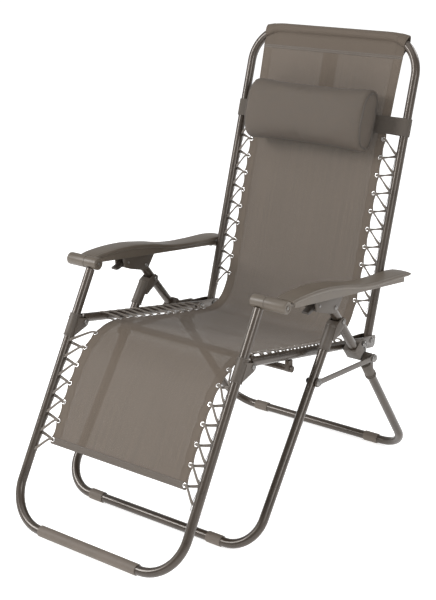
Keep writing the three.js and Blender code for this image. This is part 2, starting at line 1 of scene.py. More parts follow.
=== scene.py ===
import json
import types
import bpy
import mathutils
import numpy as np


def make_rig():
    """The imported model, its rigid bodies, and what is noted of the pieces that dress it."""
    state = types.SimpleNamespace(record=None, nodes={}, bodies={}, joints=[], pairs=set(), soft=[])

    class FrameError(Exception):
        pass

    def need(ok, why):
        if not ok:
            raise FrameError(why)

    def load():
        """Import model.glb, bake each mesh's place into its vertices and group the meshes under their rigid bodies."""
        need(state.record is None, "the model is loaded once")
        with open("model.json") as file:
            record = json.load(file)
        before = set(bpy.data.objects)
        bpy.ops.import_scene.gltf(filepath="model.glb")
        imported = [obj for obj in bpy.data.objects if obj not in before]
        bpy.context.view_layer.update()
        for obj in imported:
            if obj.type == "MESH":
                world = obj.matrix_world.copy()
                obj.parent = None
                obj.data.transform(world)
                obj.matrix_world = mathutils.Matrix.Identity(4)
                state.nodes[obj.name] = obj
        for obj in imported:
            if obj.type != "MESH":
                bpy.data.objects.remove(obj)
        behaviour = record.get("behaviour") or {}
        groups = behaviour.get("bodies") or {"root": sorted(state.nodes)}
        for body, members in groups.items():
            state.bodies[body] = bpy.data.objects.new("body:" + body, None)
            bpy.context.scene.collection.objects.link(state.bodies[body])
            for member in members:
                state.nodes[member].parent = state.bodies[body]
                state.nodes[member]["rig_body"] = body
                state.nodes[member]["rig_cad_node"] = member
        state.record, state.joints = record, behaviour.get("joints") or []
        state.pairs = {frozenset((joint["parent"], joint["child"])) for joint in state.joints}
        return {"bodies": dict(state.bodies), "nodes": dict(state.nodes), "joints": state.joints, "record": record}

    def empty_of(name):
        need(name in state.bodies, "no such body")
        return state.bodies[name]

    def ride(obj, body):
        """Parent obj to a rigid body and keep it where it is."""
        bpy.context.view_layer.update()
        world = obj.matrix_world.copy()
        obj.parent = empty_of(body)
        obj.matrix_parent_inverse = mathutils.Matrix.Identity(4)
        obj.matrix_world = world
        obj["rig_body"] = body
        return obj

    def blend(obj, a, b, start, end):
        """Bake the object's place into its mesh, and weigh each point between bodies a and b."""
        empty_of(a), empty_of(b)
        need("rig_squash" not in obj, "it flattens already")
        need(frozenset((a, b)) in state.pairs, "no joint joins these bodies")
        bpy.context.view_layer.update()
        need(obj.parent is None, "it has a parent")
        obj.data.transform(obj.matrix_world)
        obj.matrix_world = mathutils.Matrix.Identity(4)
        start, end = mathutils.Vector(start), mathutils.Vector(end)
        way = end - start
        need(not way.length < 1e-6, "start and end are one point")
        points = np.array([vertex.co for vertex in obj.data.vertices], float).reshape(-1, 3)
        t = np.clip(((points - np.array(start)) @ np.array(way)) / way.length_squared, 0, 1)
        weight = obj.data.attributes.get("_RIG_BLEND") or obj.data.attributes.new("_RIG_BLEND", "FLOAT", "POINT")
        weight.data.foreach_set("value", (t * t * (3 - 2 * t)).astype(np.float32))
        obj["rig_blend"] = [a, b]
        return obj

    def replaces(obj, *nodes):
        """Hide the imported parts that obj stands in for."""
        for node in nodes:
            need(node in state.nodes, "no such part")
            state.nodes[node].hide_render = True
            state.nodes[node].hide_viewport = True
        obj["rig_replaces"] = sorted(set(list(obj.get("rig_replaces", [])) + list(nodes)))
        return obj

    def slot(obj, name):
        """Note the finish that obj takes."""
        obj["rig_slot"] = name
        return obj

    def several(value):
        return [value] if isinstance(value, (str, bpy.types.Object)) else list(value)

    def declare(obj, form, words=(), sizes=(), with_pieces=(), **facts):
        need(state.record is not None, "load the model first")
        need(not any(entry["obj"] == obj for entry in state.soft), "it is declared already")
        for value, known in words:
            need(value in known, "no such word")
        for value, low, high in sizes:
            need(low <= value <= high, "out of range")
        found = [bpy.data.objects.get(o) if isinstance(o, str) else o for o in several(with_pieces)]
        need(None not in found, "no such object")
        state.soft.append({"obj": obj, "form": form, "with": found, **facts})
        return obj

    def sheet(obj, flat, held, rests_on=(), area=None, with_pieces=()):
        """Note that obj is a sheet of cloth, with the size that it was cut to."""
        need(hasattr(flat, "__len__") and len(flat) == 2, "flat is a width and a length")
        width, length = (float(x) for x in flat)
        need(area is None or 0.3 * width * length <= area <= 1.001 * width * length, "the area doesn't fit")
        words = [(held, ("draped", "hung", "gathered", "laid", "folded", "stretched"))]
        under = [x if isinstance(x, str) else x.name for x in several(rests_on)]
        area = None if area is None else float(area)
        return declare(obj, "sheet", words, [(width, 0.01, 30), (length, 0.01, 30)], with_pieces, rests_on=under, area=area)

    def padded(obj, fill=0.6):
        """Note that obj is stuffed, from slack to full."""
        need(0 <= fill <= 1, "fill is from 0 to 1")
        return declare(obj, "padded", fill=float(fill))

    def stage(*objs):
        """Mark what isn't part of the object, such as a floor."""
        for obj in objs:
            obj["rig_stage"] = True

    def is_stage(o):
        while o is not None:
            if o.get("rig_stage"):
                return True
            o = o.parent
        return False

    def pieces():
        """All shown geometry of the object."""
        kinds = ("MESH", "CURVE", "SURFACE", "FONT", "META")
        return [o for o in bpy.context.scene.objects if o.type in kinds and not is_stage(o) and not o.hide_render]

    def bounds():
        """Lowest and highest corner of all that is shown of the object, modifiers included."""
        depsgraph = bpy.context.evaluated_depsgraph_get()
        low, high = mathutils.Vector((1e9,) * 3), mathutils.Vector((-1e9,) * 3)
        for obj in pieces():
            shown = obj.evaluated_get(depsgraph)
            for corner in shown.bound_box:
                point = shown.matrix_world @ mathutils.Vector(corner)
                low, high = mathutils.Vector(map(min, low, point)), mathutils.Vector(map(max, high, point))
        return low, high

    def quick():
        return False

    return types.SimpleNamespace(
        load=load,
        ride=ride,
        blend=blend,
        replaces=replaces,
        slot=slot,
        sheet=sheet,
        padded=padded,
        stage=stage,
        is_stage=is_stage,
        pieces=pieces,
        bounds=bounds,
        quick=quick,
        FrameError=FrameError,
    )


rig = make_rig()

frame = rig.load()
cad_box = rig.bounds()

import bpy, bmesh, json, math
import numpy as np
from mathutils import Vector, Matrix
from mathutils.bvhtree import BVHTree

MM = 0.001
R = math.radians

# ------------------------------------------------------------------ frame dimensions, mm
TUBE_R, FRAME_X, LEG_X = 11.0, 247.0, 285.0
FOOT_TOP, FOOT_BAR, KNEE = (-185, 581), (-496.55, 28.8), (-229, 446)
SEAT_HINGE, BACK_PIVOT, ARM_PIVOT = (226, 364.5), (283, 358), (331, 509.7)
FRONT_LEG_TOP, FRONT_LEG_BAR = (51.6, 467.9), (-262, 13.24)
STRUT_TOP, STRUT_END, STRUT_RIVET, LOCK_PIN = (34.6, 525.3), (171, 363), (79.2, 472.4), (41, 517.6)
REAR_PIVOT, REAR_LEG_TOP, REAR_LEG_BAR, BRACE_FRONT = (225, 337), (216, 319.5), (444.4, 13.24), (-28, 353)


def unit2(a, b):
    d = np.subtract(b, a).astype(float)
    return d / np.linalg.norm(d)


uFoot, uBack = unit2(FOOT_TOP, FOOT_BAR), unit2((0, 0), (0.294, 1))
uSeat, uFront = unit2((0, 0), (1, -0.195)), unit2(FRONT_LEG_TOP, FRONT_LEG_BAR)
uRear, uStrut = unit2(REAR_LEG_TOP, REAR_LEG_BAR), unit2(STRUT_TOP, STRUT_END)
nBack = np.array([-uBack[1], uBack[0]])
BACK_LEN = (1081.5 - BACK_PIVOT[1]) / uBack[1]


def seat_z(y):
    return 364.5 - 0.195 * (y - 226)


def back_at(s, n=0.0):
    return np.array(BACK_PIVOT, float) + uBack * s + nBack * n


def rail_z(y):
    return 565 - 0.129 * (y + 125)


# ------------------------------------------------------------------ materials
def new_mat(name):
    m = bpy.data.materials.new(name)
    m.use_nodes = True
    nt = m.node_tree
    bsdf = nt.nodes["Principled BSDF"]
    return m, nt, bsdf


def node(nt, kind, **kw):
    n = nt.nodes.new(kind)
    for k, v in kw.items():
        if k in n.inputs:
            n.inputs[k].default_value = v
        else:
            setattr(n, k, v)
    return n


def maths(nt, op, a, b=None, clamp=False):
    n = nt.nodes.new("ShaderNodeMath")
    n.operation = op
    n.use_clamp = clamp
    for i, x in enumerate((a, b)):
        if x is None:
            continue
        if isinstance(x, (int, float)):
            n.inputs[i].default_value = x
        else:
            nt.links.new(x, n.inputs[i])
    return n.outputs[0]


def mix_col(nt, fac, a, b):
    n = nt.nodes.new("ShaderNodeMix")
    n.data_type = "RGBA"
    for sock, x in ((n.inputs[0], fac), (n.inputs[6], a), (n.inputs[7], b)):
        if isinstance(x, (int, float)):
            sock.default_value = x
        elif isinstance(x, (tuple, list)):
            sock.default_value = (*x[:3], 1)
        else:
            nt.links.new(x, sock)
    return n.outputs[2]


def ramp(nt, value, lo, hi, out_lo=0.0, out_hi=1.0):
    n = nt.nodes.new("ShaderNodeMapRange")
    n.inputs[1].default_value, n.inputs[2].default_value = lo, hi
    n.inputs[3].default_value, n.inputs[4].default_value = out_lo, out_hi
    nt.links.new(value, n.inputs[0])
    return n.outputs[0]


def noise(nt, vec, scale, detail=3.0, rough=0.5):
    n = nt.nodes.new("ShaderNodeTexNoise")
    n.inputs["Scale"].default_value = scale
    n.inputs["Detail"].default_value = detail
    n.inputs["Roughness"].default_value = rough
    nt.links.new(vec, n.inputs["Vector"])
    return n.outputs[0]


def bump(nt, bsdf, height, strength, distance):
    b = nt.nodes.new("ShaderNodeBump")
    b.inputs["Strength"].default_value = strength
    b.inputs["Distance"].default_value = distance
    nt.links.new(height, b.inputs["Height"])
    nt.links.new(b.outputs[0], bsdf.inputs["Normal"])


def hexc(h, k=1.0):
    v = [int(h[i:i + 2], 16) / 255 for i in (0, 2, 4)]
    return tuple(k * ((c / 12.92) if c < 0.04045 else ((c + 0.055) / 1.055) ** 2.4) for c in v)


def obj_vec(nt):
    return nt.nodes.new("ShaderNodeTexCoord").outputs["Object"]


def paint_mat(name, base, dark, rough, metal=0.0, grain=1500, coat=0.0):
    """satin powder coat or moulded plastic: fine grain, slow shade drift and lighter rubbed edges"""
    m, nt, b = new_mat(name)
    vec = obj_vec(nt)
    slow = noise(nt, vec, 14, 4, 0.6)
    spots = noise(nt, vec, 240, 2, 0.5)
    col = mix_col(nt, ramp(nt, slow, 0.3, 0.7), dark, base)
    col = mix_col(nt, ramp(nt, spots, 0.55, 0.8, 0.0, 0.18), col, tuple(min(1, c * 1.5) for c in base))
    geo = nt.nodes.new("ShaderNodeNewGeometry")
    edge = ramp(nt, geo.outputs["Pointiness"], 0.53, 0.62, 0.0, 0.30)
    col = mix_col(nt, edge, col, tuple(min(1, c * 1.7 + 0.02) for c in base))
    nt.links.new(col, b.inputs["Base Color"])
    fine = noise(nt, vec, grain, 2, 0.5)
    r = maths(nt, "ADD", ramp(nt, slow, 0.3, 0.7, rough - 0.04, rough + 0.05), ramp(nt, fine, 0.3, 0.7, -0.03, 0.03))
    nt.links.new(r, b.inputs["Roughness"])
    b.inputs["Metallic"].default_value = metal
    if coat:
        b.inputs["Coat Weight"].default_value = coat
        b.inputs["Coat Roughness"].default_value = 0.25
    bump(nt, b, fine, 0.22, 0.0003)
    return m


def metal_mat(name, base, rough):
    m, nt, b = new_mat(name)
    vec = obj_vec(nt)
    slow = noise(nt, vec, 60, 4, 0.6)
    fine = noise(nt, vec, 900, 2, 0.5)
    nt.links.new(mix_col(nt, ramp(nt, slow, 0.35, 0.7), base, tuple(c * 0.78 for c in base)), b.inputs["Base Color"])
    nt.links.new(ramp(nt, slow, 0.3, 0.7, rough - 0.06, rough + 0.08), b.inputs["Roughness"])
    b.inputs["Metallic"].default_value = 1.0
    bump(nt, b, fine, 0.15, 0.0002)
    return m


def uv_parts(nt):
    uv = nt.nodes.new("ShaderNodeUVMap")
    uv.uv_map = "weave"
    sep = nt.nodes.new("ShaderNodeSeparateXYZ")
    nt.links.new(uv.outputs[0], sep.inputs[0])
    return uv.outputs[0], sep.outputs[0], sep.outputs[1]


def weave_height(nt, u, v, pitch):
    """plain weave: rounded yarns that pass over and under each other"""
    a = maths(nt, "COSINE", maths(nt, "MULTIPLY", u, math.pi / pitch))
    b = maths(nt, "COSINE", maths(nt, "MULTIPLY", v, math.pi / pitch))
    return maths(nt, "ABSOLUTE", a), maths(nt, "ABSOLUTE", b), maths(nt, "MULTIPLY", a, b)


def sling_mat(name, base, open_share=0.5, pitch=0.0016, hem=0.025, half=0.203):
    """vinyl-coated mesh: yarns, small holes, warp streaks, stitched side hems"""
    m, nt, b = new_mat(name)
    uv, u, v = uv_parts(nt)
    wa, wb, over = weave_height(nt, u, v, pitch)
    yarn = maths(nt, "MAXIMUM", wa, wb)
    hole = ramp(nt, yarn, 0.46, 0.64, 1.0, 0.0)
    # warp streaks run along the length
    mp = nt.nodes.new("ShaderNodeMapping")
    mp.inputs["Scale"].default_value = (260, 1.6, 1)
    nt.links.new(uv, mp.inputs[0])
    streak = noise(nt, mp.outputs[0], 1.0, 4, 0.65)
    mp2 = nt.nodes.new("ShaderNodeMapping")
    mp2.inputs["Scale"].default_value = (5, 3.5, 1)
    nt.links.new(uv, mp2.inputs[0])
    cloud = noise(nt, mp2.outputs[0], 1.0, 3, 0.5)
    col = mix_col(nt, ramp(nt, streak, 0.3, 0.7), tuple(c * 0.82 for c in base), tuple(c * 1.14 for c in base))
    col = mix_col(nt, ramp(nt, cloud, 0.3, 0.7, 0.0, 0.5), col, tuple(c * 1.10 for c in base))
    weft = ramp(nt, over, -0.7, 0.7, 0.0, 0.28)
    col = mix_col(nt, weft, col, tuple(c * 0.62 for c in base))
    au = maths(nt, "ABSOLUTE", u)
    in_hem = ramp(nt, au, half - hem - 0.0006, half - hem + 0.0006, 0.0, 1.0)
    col = mix_col(nt, maths(nt, "MULTIPLY", in_hem, 0.16), col, tuple(c * 0.72 for c in base))
    # the pocket round the top bar is a double layer
    pocket = ramp(nt, v, -0.0010, 0.0005, 1.0, 0.0)
    col = mix_col(nt, maths(nt, "MULTIPLY", pocket, 0.8), col, tuple(c * 0.74 for c in base))
    # two stitched rows on each hem
    rows = None
    for d in (0.0035, hem - 0.003):
        dist = maths(nt, "ABSOLUTE", maths(nt, "SUBTRACT", au, half - d))
        line = ramp(nt, dist, 0.0004, 0.0010, 1.0, 0.0)
        stitch = ramp(nt, maths(nt, "SINE", maths(nt, "MULTIPLY", v, 2 * math.pi / 0.0042)), -0.5, 0.0, 0.0, 1.0)
        one = maths(nt, "MULTIPLY", line, stitch)
        rows = one if rows is None else maths(nt, "MAXIMUM", rows, one)
    col = mix_col(nt, maths(nt, "MULTIPLY", rows, 0.55), col, tuple(c * 0.42 for c in base))
    nt.links.new(col, b.inputs["Base Color"])
    nt.links.new(ramp(nt, streak, 0.2, 0.8, 0.60, 0.74), b.inputs["Roughness"])
    b.inputs["Sheen Weight"].default_value = 0.06
    b.inputs["Sheen Roughness"].default_value = 0.45
    b.inputs["Specular IOR Level"].default_value = 0.24
    height = maths(nt, "ADD", maths(nt, "MULTIPLY", over, 0.5), maths(nt, "MULTIPLY", rows, 1.2))
    height = maths(nt, "ADD", height, maths(nt, "MULTIPLY", yarn, 0.6))
    bump(nt, b, height, 0.35, 0.0005)
    solid = maths(nt, "SUBTRACT", 1.0, maths(nt, "MAXIMUM", maths(nt, "MULTIPLY", in_hem, 0.55), pocket))
    gap = maths(nt, "ADD", maths(nt, "MULTIPLY", hole, open_share * 0.40), 0.115)
    alpha = maths(nt, "SUBTRACT", 1.0, maths(nt, "MULTIPLY", gap, solid))
    nt.links.new(alpha, b.inputs["Alpha"])
    return m


def cloth_mat(name, base, pitch, rough=0.72, rib=False):
    m, nt, b = new_mat(name)
    uv, u, v = uv_parts(nt)
    wa, wb, over = weave_height(nt, u, v, pitch)
    mp = nt.nodes.new("ShaderNodeMapping")
    mp.inputs["Scale"].default_value = (30, 30, 1)
    nt.links.new(uv, mp.inputs[0])
    cloud = noise(nt, mp.outputs[0], 1.0, 4, 0.6)
    col = mix_col(nt, ramp(nt, cloud, 0.3, 0.7), tuple(c * 0.92 for c in base), tuple(c * 1.07 for c in base))
    if rib:
        ribs = maths(nt, "ABSOLUTE", maths(nt, "SINE", maths(nt, "MULTIPLY", v, math.pi / 0.0030)))
        # painted shade: the colour is darkened in the grooves between the ribs
        col = mix_col(nt, ramp(nt, ribs, 0.0, 0.5, 0.45, 0.0), col, tuple(c * 0.5 for c in base))
        h = maths(nt, "ADD", maths(nt, "MULTIPLY", over, 0.3), ribs)
    else:
        col = mix_col(nt, ramp(nt, over, -0.7, 0.7, 0.0, 0.26), col, tuple(c * 0.66 for c in base))
        h = maths(nt, "ADD", over, maths(nt, "MULTIPLY", cloud, 0.4))
    nt.links.new(col, b.inputs["Base Color"])
    nt.links.new(ramp(nt, cloud, 0.3, 0.7, rough - 0.05, rough + 0.06), b.inputs["Roughness"])
    b.inputs["Sheen Weight"].default_value = 0.05
    b.inputs["Sheen Roughness"].default_value = 0.4
    bump(nt, b, h, 0.35, 0.0005)
    return m


def cord_mat(name, base):
    """braided elastic: two sets of crossing yarns"""
    m, nt, b = new_mat(name)
    uv, u, v = uv_parts(nt)
    p = maths(nt, "ADD", maths(nt, "MULTIPLY", u, 6 * 2 * math.pi), maths(nt, "MULTIPLY", v, 2 * math.pi / 0.006))
    q = maths(nt, "SUBTRACT", maths(nt, "MULTIPLY", u, 6 * 2 * math.pi), maths(nt, "MULTIPLY", v, 2 * math.pi / 0.006))
    br = maths(nt, "MULTIPLY", maths(nt, "SINE", p), maths(nt, "SINE", q))
    col = mix_col(nt, ramp(nt, br, -0.6, 0.6), tuple(c * 0.55 for c in base), base)
    nt.links.new(col, b.inputs["Base Color"])
    nt.links.new(ramp(nt, br, -1, 1, 0.55, 0.75), b.inputs["Roughness"])
    b.inputs["Sheen Weight"].default_value = 0.3
    bump(nt, b, br, 0.5, 0.0004)
    return m


M_PAINT = paint_mat("frame_paint", hexc("6a5c4f", 0.42), hexc("574b3f", 0.42), 0.29, 0.35, 1400, 0.35)
M_PLASTIC = paint_mat("frame_plastic", hexc("766a5e", 0.38), hexc("65594d", 0.38), 0.5, 0.0, 1100)
M_ARM = paint_mat("arm_plastic", hexc("7e7264", 0.52), hexc("6f6457", 0.52), 0.42, 0.0, 1000)
M_SLEEVE = paint_mat("sleeve_plastic", hexc("81756a", 0.55), hexc("73685c", 0.55), 0.6, 0.0, 900)
M_DARK = paint_mat("dark_plastic", hexc("3a332d"), hexc("2c2722"), 0.5, 0.0, 1000)
M_SLING = sling_mat("sling_mesh", hexc("86786a", 0.53), 0.8)
M_PILLOW = cloth_mat("pillow_cover", hexc("7c6f62", 0.42), 0.0013, 0.7)
M_PIPING = cloth_mat("pillow_piping", hexc("6d6359", 0.42), 0.0013, 0.6)
M_STRAP = cloth_mat("elastic_strap", hexc("6f655b", 0.45), 0.0012, 0.8, rib=True)
M_CORD = cord_mat("bungee_cord", hexc("857a6f", 0.75))
M_EYELET = metal_mat("eyelet_metal", (0.80, 0.78, 0.76), 0.24)
M_BOLT = metal_mat("bolt_steel", (0.24, 0.23, 0.22), 0.36)

# ------------------------------------------------------------------ mesh helpers
TALLY = {}


def make(name, verts, faces, mat, body=None, replaces=(), slot=None, uvs=None, flat_angle=38, recalc=True):
    me = bpy.data.meshes.new(name)
    me.from_pydata([tuple(float(c) * MM for c in v) for v in verts], [], [tuple(int(i) for i in f) for f in faces])
    me.update()
    o = bpy.data.objects.new(name, me)
    bpy.context.scene.collection.objects.link(o)
    if uvs is not None:
        lay = me.uv_layers.new(name="weave")
        k = 0
        for poly, uvf in zip(me.polygons, uvs):
            for li, c in zip(poly.loop_indices, uvf):
                lay.data[li].uv = (c[0] * MM, c[1] * MM)
    if recalc:
        bm = bmesh.new()
        bm.from_mesh(me)
        bmesh.ops.recalc_face_normals(bm, faces=bm.faces)
        bm.to_mesh(me)
        bm.free()
    me.polygons.foreach_set("use_smooth", [True] * len(me.polygons))
    me.set_sharp_from_angle(angle=R(flat_angle))
    me.materials.append(mat)
    if body:
        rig.ride(o, body)
    if replaces:
        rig.replaces(o, *replaces)
    if slot:
        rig.slot(o, slot)
    return o


class Part:
    """collects several closed shells in one mesh"""

    def __init__(self):
        self.v, self.f, self.uv = [], [], []

    def add(self, verts, faces, uvs=None):
        k = len(self.v)
        self.v += [tuple(v) for v in verts]
        self.f += [tuple(i + k for i in f) for f in faces]
        self.uv += uvs if uvs is not None else [[(0, 0)] * len(f) for f in faces]
        return self

    def mirrored(self):
        p = Part()
        p.v = [(-x, y, z) for x, y, z in self.v]
        p.f = [tuple(reversed(f)) for f in self.f]
        p.uv = [list(reversed(u)) for u in self.uv]
        return p

    def make(self, name, mat, **kw):
        return make(name, self.v, self.f, mat, uvs=self.uv, **kw)


def pair(part, name, mat, body, nodes=(), slot=None, **kw):
    """+X piece and its mirror image; body may be a pair of names"""
    bl, br = body if isinstance(body, tuple) else (body, body)
    a = part.make(name + "_l", mat, body=bl, replaces=[n + "_l" for n in nodes], slot=slot, **kw)
    b = part.mirrored().make(name + "_r", mat, body=br, replaces=[n + "_r" for n in nodes], slot=slot, **kw)
    return a, b


def frames(pts, closed=False):
    P = np.array(pts, float)
    n = len(P)
    if closed:
        T = np.roll(P, -1, 0) - np.roll(P, 1, 0)
    else:
        T = np.empty_like(P)
        T[1:-1] = P[2:] - P[:-2]
        T[0], T[-1] = P[1] - P[0], P[-1] - P[-2]
    T /= np.linalg.norm(T, axis=1)[:, None]
    a = np.array([0, 0, 1.0]) if abs(T[0][2]) < 0.8 else np.array([1.0, 0, 0])
    N = [np.cross(T[0], a) / np.linalg.norm(np.cross(T[0], a))]
    for i in range(1, n):
        v = N[-1] - T[i] * np.dot(N[-1], T[i])
        N.append(v / np.linalg.norm(v))
    N = np.array(N)
    return P, T, N, np.cross(T, N)


def sweep(pts, r, sides=24, closed=False, wall=0.0, round_end=0.0):
    """round tube on a path; r is a number or one per point; wall > 0 leaves its ends open"""
    P, T, N, B = frames(pts, closed)
    n = len(P)
    rr = np.full(n, float(r)) if np.isscalar(r) else np.array(r, float)
    L = np.concatenate([[0], np.cumsum(np.linalg.norm(np.diff(P, axis=0), axis=1))])
    ang = np.arange(sides) * 2 * math.pi / sides
    V, F, U = [], [], []

    def ring_at(i, rad, shift=0.0):
        k = len(V)
        c = P[i] + T[i] * shift
        for a in ang:
            V.append(tuple(c + (N[i] * math.cos(a) + B[i] * math.sin(a)) * rad))
        return k

    rings = []
    seq = []
    e = round_end
    if not closed and e:
        seq += [(0, rr[0] - e, 0.0, L[0]), (0, rr[0] - 0.3 * e, 0.3 * e, L[0])]
        seq += [(0, rr[0], e, L[0] + e)]
        seq += [(i, rr[i], 0.0, L[i]) for i in range(1, n - 1)]
        seq += [(n - 1, rr[-1], -e, L[-1] - e), (n - 1, rr[-1] - 0.3 * e, -0.3 * e, L[-1]), (n - 1, rr[-1] - e, 0.0, L[-1])]
    else:
        seq = [(i, rr[i], 0.0, L[i]) for i in range(n)]
    for i, rad, sh, l in seq:
        rings.append((ring_at(i, rad, sh), l))
    m = len(rings)
    for j in range(m if closed else m - 1):
        (a, la), (b, lb) = rings[j], rings[(j + 1) % m]
        if closed and j == m - 1:
            lb = la + np.linalg.norm(P[0] - P[-1])
        for i in range(sides):
            i2 = (i + 1) % sides
            F.append((a + i, a + i2, b + i2, b + i))
            u0, u1 = i / sides, (i + 1) / sides
            U.append([(u0 / MM, la), (u1 / MM, la), (u1 / MM, lb), (u0 / MM, lb)])
    if not closed:
        if wall:
            for end, (k, l) in ((0, rings[0]), (n - 1, rings[-1])):
                sgn = 1 if end == 0 else -1
                k1 = ring_at(end, rr[end] - wall)
                k2 = ring_at(end, rr[end] - wall, sgn * 14)
                c = len(V)
                V.append(tuple(P[end] + T[end] * sgn * 14))
                for i in range(sides):
                    i2 = (i + 1) % sides
                    F.append((k + i, k1 + i, k1 + i2, k + i2)); U.append([(0, 0)] * 4)
                    F.append((k1 + i, k2 + i, k2 + i2, k1 + i2)); U.append([(0, 0)] * 4)
                    F.append((k2 + i, c, k2 + i2)); U.append([(0, 0)] * 3)
        else:
            for k, l in (rings[0], rings[-1]):
                F.append(tuple(range(k, k + sides))); U.append([(0, 0)] * sides)
    return V, F, U


def lathe(origin, axis, profile, sides=32, ref=None):
    """profile of (distance along axis, radius); ends at radius 0 close it, otherwise it closes on itself"""
    o, t = np.array(origin, float), np.array(axis, float)
    t /= np.linalg.norm(t)
    a = np.array([0, 0, 1.0]) if abs(t[2]) < 0.8 else np.array([1.0, 0, 0])
    n = np.cross(t, a); n /= np.linalg.norm(n)
    b = np.cross(t, n)
    V, F, rings = [], [], []
    for s, r in profile:
        if r < 1e-6:
            rings.append((len(V), 1)); V.append(tuple(o + t * s))
        else:
            rings.append((len(V), sides))
            for i in range(sides):
                w = 2 * math.pi * i / sides
                V.append(tuple(o + t * s + (n * math.cos(w) + b * math.sin(w)) * r))
    loop = not (rings[0][1] == 1 and rings[-1][1] == 1)
    m = len(rings)
    for j in range(m if loop else m - 1):
        (p, pn), (q, qn) = rings[j], rings[(j + 1) % m]
        for i in range(sides):
            i2 = (i + 1) % sides
            if pn == 1 and qn == 1:
                continue
            if pn == 1:
                F.append((p, q + i2, q + i))
            elif qn == 1:
                F.append((p + i, p + i2, q))
            else:
                F.append((p + i, p + i2, q + i2, q + i))
    return V, F


def bent(points, radius, step=7.0):
    P = [np.array(p, float) for p in points]
    out = [P[0]]
    for i in range(1, len(P) - 1):
        a = (P[i] - P[i - 1]) / np.linalg.norm(P[i] - P[i - 1])
        b = (P[i + 1] - P[i]) / np.linalg.norm(P[i + 1] - P[i])
        ang = math.acos(np.clip(a @ b, -1, 1))
        n = b - a * (a @ b)
        n /= np.linalg.norm(n)
        s = P[i] - a * radius * math.tan(ang / 2)
        c = s + n * radius
        k = max(3, int(radius * ang / step))
        for j in range(k + 1):
            th = ang * j / k
            out.append(c - n * radius * math.cos(th) + a * radius * math.sin(th))
    out.append(P[-1])
    return out


def even(pts, step):
    """splits long straight stretches"""
    P = [np.array(p, float) for p in pts]
    out = [P[0]]
    for a, b in zip(P[:-1], P[1:]):
        k = max(1, int(np.linalg.norm(b - a) / step))
        for j in range(1, k + 1):
            out.append(a + (b - a) * j / k)
    return out


def catmull(pts, step):
    """smooth curve through points, resampled at about `step`"""
    P = np.array(pts, float)
    Q = np.vstack([2 * P[0] - P[1], P, 2 * P[-1] - P[-2]])
    out = []
    for i in range(1, len(Q) - 2):
        p0, p1, p2, p3 = Q[i - 1], Q[i], Q[i + 1], Q[i + 2]
        d = [max(np.linalg.norm(b - a), 1e-6) ** 0.5 for a, b in ((p0, p1), (p1, p2), (p2, p3))]
        t0, t1 = 0.0, d[0]
        t2 = t1 + d[1]
        t3 = t2 + d[2]
        k = max(8, int(np.linalg.norm(p2 - p1) / 0.8))
        for t in np.linspace(t1, t2, k, endpoint=False):
            A1 = p0 * (t1 - t) / (t1 - t0) + p1 * (t - t0) / (t1 - t0)
            A2 = p1 * (t2 - t) / (t2 - t1) + p2 * (t - t1) / (t2 - t1)
            A3 = p2 * (t3 - t) / (t3 - t2) + p3 * (t - t2) / (t3 - t2)
            B1 = A1 * (t2 - t) / (t2 - t0) + A2 * (t - t0) / (t2 - t0)
            B2 = A2 * (t3 - t) / (t3 - t1) + A3 * (t - t1) / (t3 - t1)
            out.append(B1 * (t2 - t) / (t2 - t1) + B2 * (t - t1) / (t2 - t1))
    out.append(P[-1])
    out = np.array(out)
    L = np.concatenate([[0], np.cumsum(np.linalg.norm(np.diff(out, axis=0), axis=1))])
    n = max(2, int(round(L[-1] / step)))
    w = np.linspace(0, L[-1], n + 1)
    return np.stack([np.interp(w, L, out[:, k]) for k in range(out.shape[1])], 1)


def onX(x, yz):
    return (x, yz[0], yz[1])


def at(p, u, s, n=0.0):
    return (p[0] + u[0] * s - u[1] * n, p[1] + u[1] * s + u[0] * n)


def from_node(name, new, mat, body, slot, width=0.8, angle=32):
    """a finer copy of a bracket: rounded edges and smooth round faces"""
    src = frame["nodes"][name]
    bm = bmesh.new()
    bm.from_mesh(src.data)
    bmesh.ops.remove_doubles(bm, verts=bm.verts, dist=2e-5)
    bmesh.ops.dissolve_limit(bm, angle_limit=R(1.0), verts=bm.verts, edges=bm.edges)
    bmesh.ops.recalc_face_normals(bm, faces=bm.faces)
    edges = [e for e in bm.edges if len(e.link_faces) == 2 and e.calc_face_angle(0) > R(angle)]
    try:
        bmesh.ops.bevel(bm, geom=edges, offset=width * MM, offset_type="OFFSET", segments=2, profile=0.5, affect="EDGES", clamp_overlap=True)
    except Exception as ex:
        print("bevel skipped", name, ex)
    me = bpy.data.meshes.new(new)
    bmesh.ops.triangulate(bm, faces=[f for f in bm.faces if len(f.verts) > 4])
    bm.to_mesh(me)
    bm.free()
    o = bpy.data.objects.new(new, me)
    bpy.context.scene.collection.objects.link(o)
    me.polygons.foreach_set("use_smooth", [True] * len(me.polygons))
    me.set_sharp_from_angle(angle=R(40))
    me.materials.append(mat)
    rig.ride(o, body)
    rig.replaces(o, name)
    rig.slot(o, slot)
    return o


# ------------------------------------------------------------------ steel tubes
def u_path(x, top, bar, bend):
    return even(bent([onX(x, top), onX(x, bar), onX(-x, bar), onX(-x, top)], bend, 5.0), 60)


def tube(name, pts, node_name, body, wall=1.4, mat=None, slot="frame_paint"):
    V, F, U = sweep(pts, TUBE_R, 32, wall=wall)
    return Part().add(V, F, U).make(name, mat or M_PAINT, body=body, replaces=[node_name], slot=slot, flat_angle=50)


